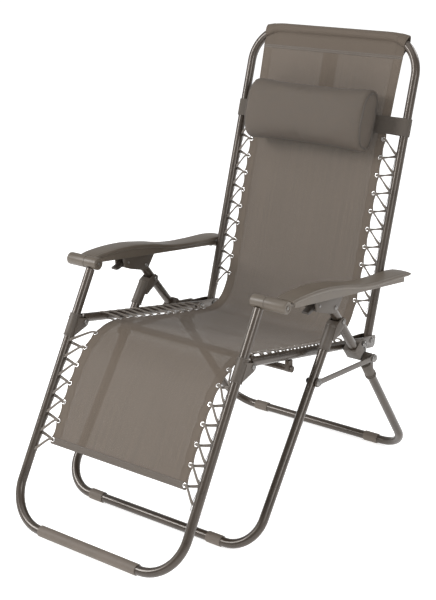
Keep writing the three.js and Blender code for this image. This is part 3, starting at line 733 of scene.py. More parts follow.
tube("front_legs_fine", u_path(LEG_X, FRONT_LEG_TOP, FRONT_LEG_BAR, 78), "front_leg_tube", "leg_base")
tube("rear_legs_fine", u_path(LEG_X, REAR_LEG_TOP, REAR_LEG_BAR, 78), "rear_leg_tube", "rear_leg")
tube("footrest_frame_fine", u_path(FRAME_X, at(FOOT_TOP, uFoot, 15.6), FOOT_BAR, 98), "footrest_tube", "footrest")
tube("back_frame_fine", u_path(FRAME_X, back_at(-9), back_at(BACK_LEN), 92), "back_tube", "back")

p = Part()
f0 = at(KNEE, uSeat, -4)
V, F, U = sweep(even([onX(FRAME_X, (f0[0] + 6, seat_z(f0[0] + 6))), onX(FRAME_X, (264, seat_z(264)))], 40), TUBE_R, 32, wall=1.4)
p.add(V, F, U)
# plug in the front end of the rail
p.add(*lathe(onX(FRAME_X, (f0[0] + 8, seat_z(f0[0] + 8))), (0, uSeat[0], uSeat[1]) if uSeat[0] > 0 else (0, -uSeat[0], -uSeat[1]), [(0, 0), (0, 8.6), (1.0, 9.5), (7.0, 9.5), (7.0, 0)], 28))
# outline of a flattened nose round the knee bolt; it is not added to the rail
nose = [(f0[0] - 1, seat_z(f0[0]) - 12.5), (f0[0] - 1.5, seat_z(f0[0]) - 3), (f0[0] + 3, seat_z(f0[0]) + 4), (f0[0] + 14, seat_z(f0[0]) + 4), (f0[0] + 14, seat_z(f0[0]) - 12.8)]
pair(p, "seat_rail_fine", M_PAINT, "seat", ["seat_rail"], "frame_paint", flat_angle=50)

p = Part()
V, F, U = sweep(even([onX(LEG_X, STRUT_TOP), onX(LEG_X, STRUT_END)], 40), TUBE_R, 32, wall=1.4)
p.add(V, F, U)
pair(p, "support_strut_fine", M_PAINT, "leg_base", ["support_strut"], "frame_paint", flat_angle=50)

# seat cross brace: tube, bent ears and end caps under the rails
by, bz = -70, seat_z(-70) - 33
p = Part()
V, F = lathe((-258, by, bz), (1, 0, 0), [(0, 0), (0, 6.4), (0.8, 8), (515.2, 8), (516, 6.4), (516, 0)], 24)
p.add(V, F)
for sx in (1, -1):
    ear = [(by - 8.5, bz - 1)] + [(by + 8.5 * math.cos(a), bz + 8.5 * math.sin(a)) for a in np.linspace(R(190), R(350), 9)] + [(by + 8.5, bz), (by + 7.5, seat_z(by) - 12.5), (by - 7.5, seat_z(by) - 11.5)]
    n = len(ear)
    x0, x1 = sx * 241.5, sx * 252.5
    V = [(x0, y, z) for y, z in ear] + [(x1, y, z) for y, z in ear]
    F = [tuple(range(n)), tuple(range(2 * n - 1, n - 1, -1))] + [(i, (i + 1) % n, n + (i + 1) % n, n + i) for i in range(n)]
    p.add(V, F)
    V, F = lathe((sx * 253, by, bz), (sx, 0, 0), [(0, 0), (0, 6.2), (3.2, 6.2), (4.4, 5.2), (4.8, 0)], 24)
    p.add(V, F)
p.make("seat_cross_brace_fine", M_PAINT, body="seat", replaces=["seat_cross_brace"], slot="frame_paint")


# ------------------------------------------------------------------ sleeves and foot caps
def sleeve(x0, x1, yz, r_out, r_in, lip=0.0):
    c = 0.9
    prof = [(x0, r_in), (x0, r_out - c), (x0 + c, r_out), (x1 - c, r_out), (x1, r_out - c), (x1, r_in)]
    if lip:
        prof = [(x0, r_in), (x0, r_out - c + lip), (x0 + c, r_out + lip), (x0 + 3, r_out + lip), (x0 + 3.8, r_out), (x1 - 3.8, r_out), (x1 - 3, r_out + lip), (x1 - c, r_out + lip), (x1, r_out - c + lip), (x1, r_in)]
    return lathe((0, yz[0], yz[1]), (1, 0, 0), prof, 40)


V, F = sleeve(-146, 146, FOOT_BAR, 13.3, 11.1)
Part().add(V, F).make("footrest_sleeve_fine", M_SLEEVE, body="footrest", replaces=["footrest_sleeve"], slot="frame_plastic", flat_angle=30)
for nm, bar, body in (("front_foot_cap", FRONT_LEG_BAR, "leg_base"), ("rear_foot_cap", REAR_LEG_BAR, "rear_leg")):
    V, F = sleeve(160, 201, bar, 13.2, 11.1)
    pair(Part().add(V, F), nm + "_fine", M_SLEEVE, body, [nm], "frame_plastic", flat_angle=30)

# ------------------------------------------------------------------ brackets and hubs
for nm, mat, slot, body, w in (
    ("leg_top_sleeve", M_PLASTIC, "frame_plastic", "leg_base", 0.9),
    ("strut_hub", M_PLASTIC, "frame_plastic", "leg_base", 1.0),
    ("brace_link", M_PAINT, "frame_paint", "leg_base", 0.7),
    ("rear_leg_collar", M_PLASTIC, "frame_plastic", "rear_leg", 0.9),
    ("hinge_bracket", M_PAINT, "frame_paint", "seat", 0.6),
    ("knee_bracket", M_PLASTIC, "frame_plastic", "footrest", 0.9),
    ("lock_bracket", M_PLASTIC, "frame_plastic", "lock_brackets", 0.7),
):
    for sd in ("_l", "_r"):
        from_node(nm + sd, nm + "_fine" + sd, mat, body, slot, w)
for sd, body in (("_l", "lock_lever_left"), ("_r", "lock_lever_right")):
    from_node("lock_lever" + sd, "lock_lever_fine" + sd, M_DARK, body, "frame_plastic", 0.8)


def collar(c, u, s0, s1, r, body, name, mat=None):
    """meant for raised bands round a sleeve on a leg at +-LEG_X or +-FRAME_X, but it makes nothing"""


def band(x, p, u, s, r, h=3.0):
    o = onX(x, at(p, u, s))
    return lathe(o, (0, u[0], u[1]), [(-h / 2, r - 1.2), (-h / 2, r - 0.4), (-h / 2 + 0.5, r), (h / 2 - 0.5, r), (h / 2, r - 0.4), (h / 2, r - 1.2)], 32)


p = Part()
for s in (60.2, 3.5):
    p.add(*band(LEG_X, FRONT_LEG_TOP, uFront, s, 14.5))
pair(p, "leg_sleeve_band", M_PLASTIC, "leg_base", (), "frame_plastic")
p = Part()
kc = at(FOOT_TOP, uFoot, (KNEE[1] - FOOT_TOP[1]) / uFoot[1])
for s in (-24.4, 28.4):
    p.add(*band(FRAME_X, kc, uFoot, s, 14.3))
pair(p, "knee_sleeve_band", M_PLASTIC, "footrest", (), "frame_plastic")
p = Part()
for s in (44, 38):
    p.add(*band(LEG_X, REAR_LEG_TOP, uRear, s, 14.2))
pair(p, "rear_collar_band", M_PLASTIC, "rear_leg", (), "frame_plastic")


# ------------------------------------------------------------------ bolts
def bolt(part, x0, x1, yz, shank, heads):
    """round shank along X; each head is (x of its inner face, side, radius, height, kind)"""
    part.add(*lathe((0, yz[0], yz[1]), (1, 0, 0), [(x0, 0), (x0, shank), (x1, shank), (x1, 0)], 20))
    for xi, sd, r, h, kind in heads:
        o = (xi, yz[0], yz[1])
        if kind == "dome":
            prof = [(0, 0), (0, r)] + [(h * math.sin(a) * 1.0, r * (0.35 + 0.65 * math.cos(a))) for a in np.linspace(0.15, 1.35, 6)] + [(h, r * 0.30), (h - 0.8, r * 0.26), (h - 0.9, 0)]
        else:
            prof = [(0, 0), (0, r), (1.0, r), (1.2, r * 0.82), (h - 0.6, r * 0.80), (h, r * 0.70), (h, r * 0.34), (h - 1.2, r * 0.30), (h - 1.2, 0)]
        part.add(*lathe(o, (sd, 0, 0), prof, 28))


for nm, body, spec in (
    ("sleeve_rivet", "leg_base", (266.6, 303.4, STRUT_RIVET, 2.9, [(300.4, 1, 6.3, 3.4, "dome"), (269.6, -1, 6.3, 3.4, "dome")])),
    ("brace_bolt", "leg_base", (272, 305, BRACE_FRONT, 3.4, [(302.9, 1, 9.2, 4.6, "dome"), (273.6, -1, 7, 3.4, "hex")])),
    ("hub_bolt", "leg_base", (230, 277, SEAT_HINGE, 3.9, [(271.6, 1, 10.4, 7.0, "dome"), (232.2, -1, 8, 3.6, "dome")])),
    ("rear_pivot_bolt", "leg_base", (266, 306, REAR_PIVOT, 3.9, [(302.9, 1, 10.4, 5.2, "dome")])),
    ("back_pivot_bolt", "seat", (230, 262, BACK_PIVOT, 3.9, [(232.2, -1, 8, 3.6, "dome"), (261.6, 1, 8, 2.4, "dome")])),
    ("knee_bolt", "footrest", (231, 263, KNEE, 3.3, [(261.8, 1, 6.8, 3.0, "dome"), (232.2, -1, 6.8, 3.0, "dome")])),
):
    q = Part()
    bolt(q, *spec)
    pair(q, nm + "_fine", M_BOLT, body, [nm], "bolt_steel")
q = Part()
for x, sd in ((301.2, 1), (268.8, -1)):
    q.add(*lathe(onX(x, LOCK_PIN), (sd, 0, 0), [(-0.3, 0), (-0.3, 5.2), (0.6, 5.2), (1.6, 4.2), (2.2, 2.2), (1.6, 1.2), (1.5, 0)], 24))
    q.add(*lathe(onX(x, (-28, 540)), (sd, 0, 0), [(-0.3, 0), (-0.3, 3.6), (0.6, 3.6), (1.3, 2.6), (1.6, 0)], 20))
pair(q, "lock_pin_head", M_BOLT, "lock_brackets", (), "bolt_steel")

# ------------------------------------------------------------------ armrests
ARM_TOP = [(-152, 586.5), (-135, 587.5), (-105, 588), (-78, 587.5), (-45, 585.5), (0, 580.5), (40, 573), (80, 564.5), (110, 556.5), (140, 549.5), (170, 544), (200, 540), (230, 537), (265, 534), (300, 531.5), (340, 528), (372, 523)]
# a thin lip at the front and a soft rise at the rear
line = catmull([(-155, 585.2)] + ARM_TOP[1:], 6.0)
half_w = np.interp(line[:, 0], [-160, -150, -100, 0, 120, 260, 330, 372], [24.5, 25.5, 26.5, 27, 26.5, 27, 29, 27.5])
thick = np.interp(line[:, 0], [-160, -146, -120, 0, 150, 300, 360, 372], [4.5, 7.0, 9.0, 9.5, 9.0, 9.2, 8.0, 4.5])
SEC = []
for k in range(0, 33):
    t = -1 + 2 * k / 32
    SEC.append((t, 0.0))
V, F = [], []
TOPN = 33
for i, (y, z) in enumerate(line):
    a, b = line[max(i - 1, 0)], line[min(i + 1, len(line) - 1)]
    u = (b - a) / np.linalg.norm(b - a)
    nrm = np.array([-u[1], u[0]])
    w, th = half_w[i], thick[i]
    ring_pts = []
    for k in range(TOPN):  # crowned top with a shallow groove inside the rolled rim
        t = -1 + 2 * k / (TOPN - 1)
        x = w * math.sin(t * math.pi / 2)
        e = abs(x) / w
        h = 1.4 * (1 - e ** 2) - 0.9 * math.exp(-((e - 0.80) / 0.05) ** 2) - 4.2 * max(0, (e - 0.90) / 0.10) ** 2.2
        ring_pts.append((x, h))
    ring_pts += [(w * 1.0, -th * 0.62), (w * 0.985, -th * 0.88), (w * 0.94, -th), (w * 0.86, -th), (w * 0.84, -th * 0.72), (w * 0.42, -th * 0.70), (w * 0.40, -th * 0.98), (-w * 0.40, -th * 0.98), (-w * 0.42, -th * 0.70), (-w * 0.84, -th * 0.72), (-w * 0.86, -th), (-w * 0.94, -th), (-w * 0.985, -th * 0.88), (-w * 1.0, -th * 0.62)]
    for x, h in ring_pts:
        V.append((288 + x, y + nrm[0] * h, z + nrm[1] * h))
m = len(ring_pts)
for i in range(len(line) - 1):
    for k in range(m):
        k2 = (k + 1) % m
        F.append((i * m + k, i * m + k2, (i + 1) * m + k2, (i + 1) * m + k))
F.append(tuple(range(m - 1, -1, -1)))
F.append(tuple((len(line) - 1) * m + k for k in range(m)))
p = Part().add(V, F)
pair(p, "arm_pad_fine", M_ARM, "armrests", ["arm_pad"], "arm_plastic", flat_angle=48)

# barrel, end screws, rail and rear boss
p = Part()
B0 = (0, FOOT_TOP[0], FOOT_TOP[1])
prof = [(226, 0), (226, 4.6), (227.2, 5.0), (227.2, 8.2), (226, 8.8), (226, 12.6), (227.4, 14.6), (229, 15.0), (262.0, 15.0), (262.6, 14.2), (264.4, 14.2), (265.0, 15.0), (314, 15.0), (317.4, 14.2), (319, 12.2), (319, 8.8), (317.8, 8.2), (317.8, 5.0), (319, 4.6), (319, 0)]
p.add(*lathe(B0, (1, 0, 0), prof, 44))
rail = [(-176, rail_z(-176) + 1.5), (-170, rail_z(-170)), (342, rail_z(342)), (345.5, rail_z(345) + 2), (345.5, rail_z(345) + 7), (-176, rail_z(-176) + 7)]


def prism(outline, x0, x1, c):
    """plate with chamfered side edges"""
    O = np.array(outline, float)
    n = len(O)
    area = sum(O[i][0] * O[(i + 1) % n][1] - O[(i + 1) % n][0] * O[i][1] for i in range(n))
    sgn = 1 if area > 0 else -1
    inner = []
    for i in range(n):
        a, b, d = O[i - 1], O[i], O[(i + 1) % n]
        e1, e2 = (b - a) / np.linalg.norm(b - a), (d - b) / np.linalg.norm(d - b)
        n1, n2 = sgn * np.array([-e1[1], e1[0]]), sgn * np.array([-e2[1], e2[0]])
        k = n1 + n2
        inner.append(b + k * (c / max(0.3, (k @ k) / 2)))
    rings = [(x0, inner), (x0 + c, O), (x1 - c, O), (x1, inner)]
    V = [(x, q[0], q[1]) for x, r in rings for q in r]
    F = [tuple(range(n)), tuple(range(3 * n, 4 * n))]
    for j in range(3):
        for i in range(n):
            i2 = (i + 1) % n
            F.append((j * n + i, j * n + i2, (j + 1) * n + i2, (j + 1) * n + i))
    return V, F


p.add(*prism(rail, 275, 295, 0.8))
# side skirts that close the space between pad and rail
ATY, ATZ = [c[0] for c in ARM_TOP], [c[1] for c in ARM_TOP]
for xa, xb in ((264.5, 267.0), (309.0, 311.5)):
    ys = np.linspace(-146, 345, 60)
    sk = [(y, rail_z(y) + 1.0) for y in ys] + [(y, float(np.interp(y, ATY, ATZ)) - 7.5) for y in ys[::-1]]
    p.add(*prism(sk, xa, xb, 0.5))
# rear saddle that carries the pivot boss
sad = [(300, rail_z(300) + 6.0), (303, rail_z(303) - 2), (318, ARM_PIVOT[1] - 4), (325, ARM_PIVOT[1] - 8), (334, ARM_PIVOT[1] - 8.5), (340, ARM_PIVOT[1] - 5), (346, rail_z(346) + 1), (348, rail_z(348) + 6.5)]
p.add(*prism(sad, 276, 292, 0.8))
p.add(*lathe((0, ARM_PIVOT[0], ARM_PIVOT[1]), (1, 0, 0), [(259.2, 0), (259.2, 6.2), (260, 7.0), (277, 7.0), (277, 0)], 28))
pair(p, "arm_frame_fine", M_ARM, "armrests", ["arm_frame"], "arm_plastic")
q = Part()
for x, sd in ((319.0, 1), (226.0, -1)):
    q.add(*lathe(onX(x - sd * 1.6, FOOT_TOP), (sd, 0, 0), [(0, 0), (0, 4.4), (0.9, 4.4), (1.8, 3.4), (2.0, 1.6), (1.1, 1.3), (1.0, 0)], 24))
pair(q, "arm_barrel_screw", M_BOLT, "armrests", (), "bolt_steel")

# ------------------------------------------------------------------ sling
BACK_LINE = [back_at(600, 9.5), back_at(450, 10), back_at(300, 8), back_at(180, 6), back_at(120, 6), back_at(86, 6.5), (291, 422), (280, 404)]
MID_LINE = [(268, 391), (256, 383), (238, 376.5), (212, 373), (150, 380), (60, 396), (-40, 416), (-110, 431), (-150, 438)]
LEG_LINE = [(-180.5, 440), (-206, 436.5), (-236, 424.7), (-273, 400), (-300, 369), (-326.8, 330.4), (-391.8, 208), (-397.5, 197.5)]
full = catmull([tuple(back_at(BACK_LEN - 45, 9.5))] + [tuple(q) for q in BACK_LINE + MID_LINE + LEG_LINE], 5.0)
arc = np.concatenate([[0], np.cumsum(np.linalg.norm(np.diff(full, axis=0), axis=1))])
tang = np.gradient(full, axis=0)
tang /= np.linalg.norm(tang, axis=1)[:, None]
# normal towards the sitter: the line runs down the back, forward on the seat and down the leg part
norm2 = np.stack([tang[:, 1], -tang[:, 0]], 1)
SPLIT = int(np.argmin(np.abs(full[:, 0] - 45) + 1e3 * (full[:, 1] > 420)))


def near_line(pt):
    return int(np.argmin(np.linalg.norm(full - np.array(pt), axis=1)))


def arc_points(a, b, count):
    """evenly spaced arc positions between the points of the line nearest to a and b"""
    return np.linspace(arc[near_line(a)], arc[near_line(b)], count)


def on_line(l):
    y, z = np.interp(l, arc, full[:, 0]), np.interp(l, arc, full[:, 1])
    t = np.array([np.interp(l, arc, tang[:, 0]), np.interp(l, arc, tang[:, 1])])
    t /= np.linalg.norm(t)
    return np.array([y, z]), t, np.array([t[1], -t[0]])


EYE_X = 197.0
eye_back = arc_points(back_at(500, 9), back_at(87, 6.5), 10)
eye_seat = arc_points((186, 376), (-146, 437), 12)
eye_leg = arc_points((-236, 424.7), (-391.8, 208), 7)
eye_all = np.concatenate([eye_back, eye_seat, eye_leg])


def half_width(l):
    """half width of the cloth: pulled out at each eyelet, wider at the top"""
    d = np.abs(eye_all - l).min()
    near = math.exp(-(d / 11.0) ** 2)
    top = np.interp(l, [0, 90, 260], [6.0, 3.0, 0.0])
    inside = 1.0 if (l > eye_back[0] - 30) else 0.0
    return 203.0 - 3.2 * (1 - near) * inside + top


def sag(l, x):
    """depth of the cloth below its edges"""
    e = min(1.0, abs(x) / 203.0)
    y, z = np.interp(l, arc, full[:, 0]), np.interp(l, arc, full[:, 1])
    depth = np.interp(l, [0, 60, 200, 420, 560, 680, 760, 860, 960, 1090, 1140, 1240, 1320, 1420, arc[-1]],
                      [0, 2, 5, 8, 9, 7, 8, 12, 11, 5, 4, 5, 6, 4, 1])
    d = -depth * (1 - e ** 2.2)
    # tension folds that run inwards from the eyelets
    k = np.abs(eye_all - l).min()
    edge = max(0.0, (e - 0.80) / 0.20)
    d += 1.1 * math.exp(-(k / 8.0) ** 2) * edge ** 1.5 - 0.7 * edge
    d += 0.35 * math.sin(x * 0.052 + l * 0.011) * math.sin(l * 0.021 + 1.3) * (1 - e)
    return d


XS = np.concatenate([np.linspace(-1, -0.86, 8, endpoint=False), np.linspace(-0.86, 0.86, 37), np.linspace(0.86, 1, 9)[1:]])
TH = 1.3


def skin(rows, name, body, nodes, half_extra=0.6):
    """front points, weave coordinates and normals of a cloth from rows of (front point, weave coordinate); rows[i][j]
    for column j
    """
    nr, nc = len(rows), len(rows[0])
    P = np.array([[c[0] for c in r] for r in rows])
    uvv = np.array([[c[1] for c in r] for r in rows])
    du, dv = np.gradient(P, axis=1), np.gradient(P, axis=0)
    N = np.cross(du, dv)
    N /= np.linalg.norm(N, axis=2)[:, :, None] + 1e-12
    return P, uvv, N


def cloth(rows, name, hem_side=True):
    P, UV, N = skin(rows, name, None, None)
    nr, nc = P.shape[:2]
    tk = np.full((nr, nc), TH / 2)
    if hem_side:
        ax = np.abs(P[:, :, 0])
        half = np.array([max(a) for a in ax])
        tk += 0.55 * (ax > (half - 26)[:, None])
    top, bot = P + N * tk[:, :, None], P - N * tk[:, :, None]
    V = [tuple(q) for q in top.reshape(-1, 3)] + [tuple(q) for q in bot.reshape(-1, 3)]
    F, U = [], []
    idx = lambda i, j: i * nc + j
    off = nr * nc
    for i in range(nr - 1):
        for j in range(nc - 1):
            q = [(i, j), (i, j + 1), (i + 1, j + 1), (i + 1, j)]
            F.append(tuple(idx(*c) for c in q)); U.append([tuple(UV[c]) for c in q])
            q = q[::-1]
            F.append(tuple(off + idx(*c) for c in q)); U.append([tuple(UV[c]) for c in q])
    ring = [(0, j) for j in range(nc)] + [(i, nc - 1) for i in range(1, nr)] + [(nr - 1, j) for j in range(nc - 2, -1, -1)] + [(i, 0) for i in range(nr - 2, 0, -1)]
    for a, b in zip(ring, ring[1:] + ring[:1]):
        F.append((idx(*b), idx(*a), off + idx(*a), off + idx(*b)))
        U.append([tuple(UV[b]), tuple(UV[a]), tuple(UV[a]), tuple(UV[b])])
    return V, F, U


def line_rows(i0, i1):
    rows = []
    for i in range(i0, i1 + 1):
        l = arc[i]
        hw = half_width(l)
        r = []
        for t in XS:
            x = t * hw
            d = sag(l, x)
            q = full[i] + norm2[i] * d
            r.append((np.array([x, q[0], q[1]]), (t * 203.0, l)))
        rows.append(r)
    return rows


def drop(x):
    """how far the bent top tube lies below the straight top bar"""
    e = max(0.0, abs(x) - (FRAME_X - 92))
    return 92 - math.sqrt(max(1.0, 92 ** 2 - e ** 2))


def pocket_rows():
    """the cloth round the top bar, from the seam behind to the seam in front"""
    steps = 26
    rows = []
    for k in range(steps + 1):
        ph = R(-62) + R(304) * k / steps  # from behind-below over the top to front-below
        r = []
        for t in XS:
            hw = 209.0 + 5.0 * max(0.0, math.sin(min(max(ph, 0), math.pi)))
            x = t * hw
            dr = drop(min(abs(x), 214))
            c = BACK_LEN - dr * 0.92
            rad = 12.4
            up = rad + 0.62 * dr
            n = -rad * math.cos(ph)
            s = c + (up if math.sin(ph) > 0 else rad) * math.sin(ph)
            # lens: sides lean together towards a raised corner
            if dr > 0 and math.sin(ph) > 0:
                n *= 1 - 0.35 * min(1, dr / 20) * math.sin(ph) ** 2
            q = back_at(s, n)
            r.append((np.array([x, q[0], q[1]]), (t * 203.0, 0)))
        rows.append(r)
    return rows


def seam_rows(front):
    """between the tube and the stitched seam below it"""
    out = []
    base = pocket_rows()
    edge = base[-1] if front else base[0]
    for f in ((0.33, 0.66) if front else (0.0, 0.33, 0.66)):
        r = []
        for t, (pt, uvq) in zip(XS, edge):
            hw = 209.0
            s_end, n_end = BACK_LEN - 45, (9.5 if front else 7.6)
            if front:
                hw_end = half_width(0)
                q = back_at(s_end, n_end)
                a, w = pt, f
                x = pt[0] * (1 - w) + t * hw_end * w
            else:
                q = back_at(s_end + 1.5, n_end)
                w = 1 - f
                x = pt[0] * (1 - w) + t * 208.5 * w
                a = pt
            yy = a[1] * (1 - w) + q[0] * w
            zz = a[2] * (1 - w) + q[1] * w
            r.append((np.array([x, yy, zz]), (t * 203.0, 0)))
        out.append(r)
    return out


upper = seam_rows(False) + pocket_rows() + seam_rows(True) + line_rows(0, SPLIT)
# arc length of the upper cloth, measured up the middle
mid = len(XS) // 2
pts = np.array([r[mid][0] for r in upper])
al = np.concatenate([[0], np.cumsum(np.linalg.norm(np.diff(pts, axis=0), axis=1))])
n_line = SPLIT + 1
shift = al[len(upper) - n_line]
for i in range(len(upper) - n_line):
    upper[i] = [(c[0], (c[1][0], al[i] - shift)) for c in upper[i]]
V, F, U = cloth(upper, "upper")
sling_upper = Part().add(V, F, U).make("sling_upper", M_SLING, slot="sling_mesh", flat_angle=70)
V, F, U = cloth(line_rows(SPLIT, len(full) - 1), "lower")
sling_lower = Part().add(V, F, U).make("sling_lower", M_SLING, slot="sling_mesh", flat_angle=70)
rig.replaces(sling_upper, "back_sling")
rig.replaces(sling_lower, "seat_sling", "leg_sling")
len_upper = (arc[SPLIT] + shift) * MM
len_lower = (arc[-1] - arc[SPLIT]) * MM
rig.blend(sling_upper, "seat", "back", start=(0, 0.236, 0.374), end=(0, 0.298, 0.436))
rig.blend(sling_lower, "footrest", "seat", start=(0, -0.228, 0.428), end=(0, -0.166, 0.440))

# double seam band under the pocket, hem at the foot end: thin strips stitched on
def strip_across(l0, l1, lift, name, body, hw_fn=None):
    rows = []
    for l in np.linspace(l0, l1, 5):
        y, t, n = on_line(l)
        hw = half_width(l) + 0.4
        r = []
        for q in XS:
            x = q * hw
            d = sag(l, x) + lift
            pt = y + n * d
            r.append((np.array([x, pt[0], pt[1]]), (q * 203.0, l)))
        rows.append(r)
    return rows


def thin(rows, th, name, mat, body, slot):
    P = np.array([[c[0] for c in r] for r in rows]); UV = np.array([[c[1] for c in r] for r in rows])
    du, dv = np.gradient(P, axis=1), np.gradient(P, axis=0)
    N = np.cross(du, dv); N /= np.linalg.norm(N, axis=2)[:, :, None] + 1e-12
    nr, nc = P.shape[:2]
    top, bot = P + N * th / 2, P - N * th / 2
    V = [tuple(q) for q in top.reshape(-1, 3)] + [tuple(q) for q in bot.reshape(-1, 3)]
    F, U, off = [], [], nr * nc
    for i in range(nr - 1):
        for j in range(nc - 1):
            q = [(i, j), (i, j + 1), (i + 1, j + 1), (i + 1, j)]
            F.append(tuple(a * nc + b for a, b in q)); U.append([tuple(UV[c]) for c in q])
            F.append(tuple(off + a * nc + b for a, b in q[::-1])); U.append([tuple(UV[c]) for c in q[::-1]])
    ring = [(0, j) for j in range(nc)] + [(i, nc - 1) for i in range(1, nr)] + [(nr - 1, j) for j in range(nc - 2, -1, -1)] + [(i, 0) for i in range(nr - 2, 0, -1)]
    for a, b in zip(ring, ring[1:] + ring[:1]):
        F.append((b[0] * nc + b[1], a[0] * nc + a[1], off + a[0] * nc + a[1], off + b[0] * nc + b[1])); U.append([tuple(UV[b]), tuple(UV[a]), tuple(UV[a]), tuple(UV[b])])
    return Part().add(V, F, U).make(name, mat, body=body, slot=slot, flat_angle=70)


M_HEM = cloth_mat("sling_hem", hexc("7c7166", 0.5), 0.0016, 0.7)
seam_band = thin(strip_across(1.0, 9.5, 0.9, "a", "back"), 0.9, "pocket_seam_band", M_HEM, "back", "sling_mesh")
foot_hem = thin(strip_across(arc[-1] - 17, arc[-1] - 0.4, 0.9, "b", "footrest"), 0.8, "foot_hem_band", M_HEM, "footrest", "sling_mesh")
# centre strip stitched behind the head end of the back cloth
XS_ALL = XS
XS = np.linspace(-22.5, 22.5, 9) / 203.0
rows = []
for l in np.linspace(2.0, BACK_LEN - 45 - 540, 40):
    y, t, n = on_line(l)
    r = []
    for q in XS:
        d = sag(l, q * 203.0) - 1.7
        pt = y + n * d
        r.append((np.array([q * 203.0, pt[0], pt[1]]), (q * 203.0, l)))
    rows.append(r)
centre_strip = thin(rows, 0.8, "back_centre_strip", M_HEM, "back", "sling_mesh")
XS = XS_ALL
# raised thread rows on those bands
def thread_row(l, lift, name, body):
    pts = []
    n = 190
    for k in range(n + 1):
        q = -0.985 + 1.97 * k / n
        y, t, nn = on_line(l)
        x = q * half_width(l)
        d = sag(l, x) + lift + 0.28 * math.sin(k * math.pi)
        pt = y + nn * (d + (0.25 if k % 2 else -0.15))
        pts.append((x, pt[0], pt[1]))
    return sweep(pts, 0.42, 6)


for nm, ls, body in (("pocket_seam_thread", (2.6, 7.8), "back"), ("foot_hem_thread", (arc[-1] - 14.5, arc[-1] - 3.0), "footrest")):
    q = Part()
    for l in ls:
        V, F, U = thread_row(l, 1.5, nm, body)
        q.add(V, F, U)
    q.make(nm, M_CORD, body=body, slot="sling_mesh")

# ------------------------------------------------------------------ eyelets
def eyelet_part(ls, sx):
    q = Part()
    for l in ls:
        y, t, n = on_line(l)
        x = sx * EYE_X
        d = sag(l, x)
        c = y + n * d
        o = (x, c[0], c[1])
        prof = []
        rt, rc = 1.55, 4.3  # rolled rim
        for a in np.linspace(0, 2 * math.pi, 12, endpoint=False):
            prof.append((1.35 + 1.0 * math.sin(a), rc + rt * math.cos(a)))
        q.add(*lathe(o, (0, n[0], n[1]), prof, 26))
        q.add(*lathe(o, (0, n[0], n[1]), [(-2.0, 2.9), (-2.0, 5.9), (-1.4, 5.9), (-1.2, 3.5), (1.6, 3.3), (1.6, 2.9)], 26))
    return q


for nm, ls, body in (("back_eyelets", eye_back, "back"), ("seat_eyelets", eye_seat, "seat"), ("leg_eyelets", eye_leg, "footrest")):
    for sx, sd in ((1, "_l"), (-1, "_r")):
        eyelet_part(ls, sx).make(nm + sd, M_EYELET, body=body, flat_angle=60)


# ------------------------------------------------------------------ lacing
def lace_part(ls, axis_pt, axis_dir, share=0.68, land=162.0):
    """doubled cord from each eyelet to holes in the tube and back behind the cloth"""
    ad = np.array(axis_dir, float)
    ap = np.array(axis_pt, float)
    cr = 1.85
    rw = TUBE_R + cr
    sg = 1.0 if (on_line(ls[-1])[0] - on_line(ls[0])[0]) @ ad > 0 else -1.0
    pitch = ls[1] - ls[0]
    strands = []
    for off in (-1.95, 1.95):
        pts = []

        def on_tube(l, along, a, r):
            y, t, n = on_line(l)
            base = ap + ad * ((y - ap) @ ad + sg * along + off)
            m = np.array([-ad[1], ad[0]])
            if m @ n < 0:
                m = -m
            return (FRAME_X + r * math.cos(R(a)), *(base + m * (r * math.sin(R(a)))))

        for i, l in enumerate(ls):
            y, t, n = on_line(l)
            c = y + n * sag(l, EYE_X) + t * off * 0.62
            if i:
                pts += [(EYE_X + 5.0, *(c - n * 4.6)), (EYE_X + 0.3, *(c - n * 0.5))]
            else:
                pts += [(EYE_X + 1.0, *(c - n * 6.0)), (EYE_X + 0.3, *(c - n * 0.5))]
            pts += [(EYE_X + 1.4, *(c + n * 3.2)), (EYE_X + 7.0, *(c + n * 4.4))]
            k = share * pitch
            pts += [on_tube(l, k, land, rw + 0.3), on_tube(l, k + 1.0, land + 4, TUBE_R - 4.5)]
            if i < len(ls) - 1:
                pts += [on_tube(l, k + 4.0, 180, TUBE_R - 5.5), on_tube(l, k + 6.0, 196, TUBE_R - 3.0), on_tube(l, k + 6.5, 198, rw + 0.6)]
        strands.append(sweep(catmull(pts, 2.2), cr, 10))
    return strands


lace_specs = (
    ("back_lace", eye_back, BACK_PIVOT, uBack, "back", 0.68, 162.0),
    ("seat_lace", eye_seat, (0, seat_z(0)), uSeat, "seat", 0.70, 118.0),
    ("leg_lace", eye_leg, FOOT_TOP, uFoot, "footrest", 0.68, 162.0),
)
for nm, ls, ap, ad, body, sh, land in lace_specs:
    q = Part()
    for V, F, U in lace_part(ls, ap, ad, sh, land):
        q.add(V, F, U)
    pair(q, nm + "_fine", M_CORD, body, [nm], "bungee_cord", flat_angle=80)

# thin tie cord that runs down the inside of the tube between the wraps
def tie_part(ls, ap, ad, share, tail):
    ad, ap = np.array(ad, float), np.array(ap, float)
    sg = 1.0 if (on_line(ls[-1])[0] - on_line(ls[0])[0]) @ ad > 0 else -1.0
    pitch = ls[1] - ls[0]
    pts = []
    for i, l in enumerate(ls):
        y, t, n = on_line(l)
        s = (y - ap) @ ad + sg * share * pitch
        m = np.array([-ad[1], ad[0]])
        if m @ n < 0:
            m = -m
        for f, dx, dm in ((0.0, 15.4, 1.0), (0.35, 14.0, -1.0), (0.7, 13.2, 2.0)):
            b = ap + ad * (s + sg * f * pitch) + m * dm
            pts.append((FRAME_X - dx, b[0], b[1]))
    b = ap + ad * (s + sg * (1.0 * pitch)) + m * 1.5
    pts.append((FRAME_X - 16.0, b[0], b[1]))
    b = ap + ad * (s + sg * (1.35 * pitch)) + m * 2.5
    pts.append((FRAME_X - 13.5, b[0], b[1]))
    return sweep(catmull(pts, 3.0), 0.7, 8)


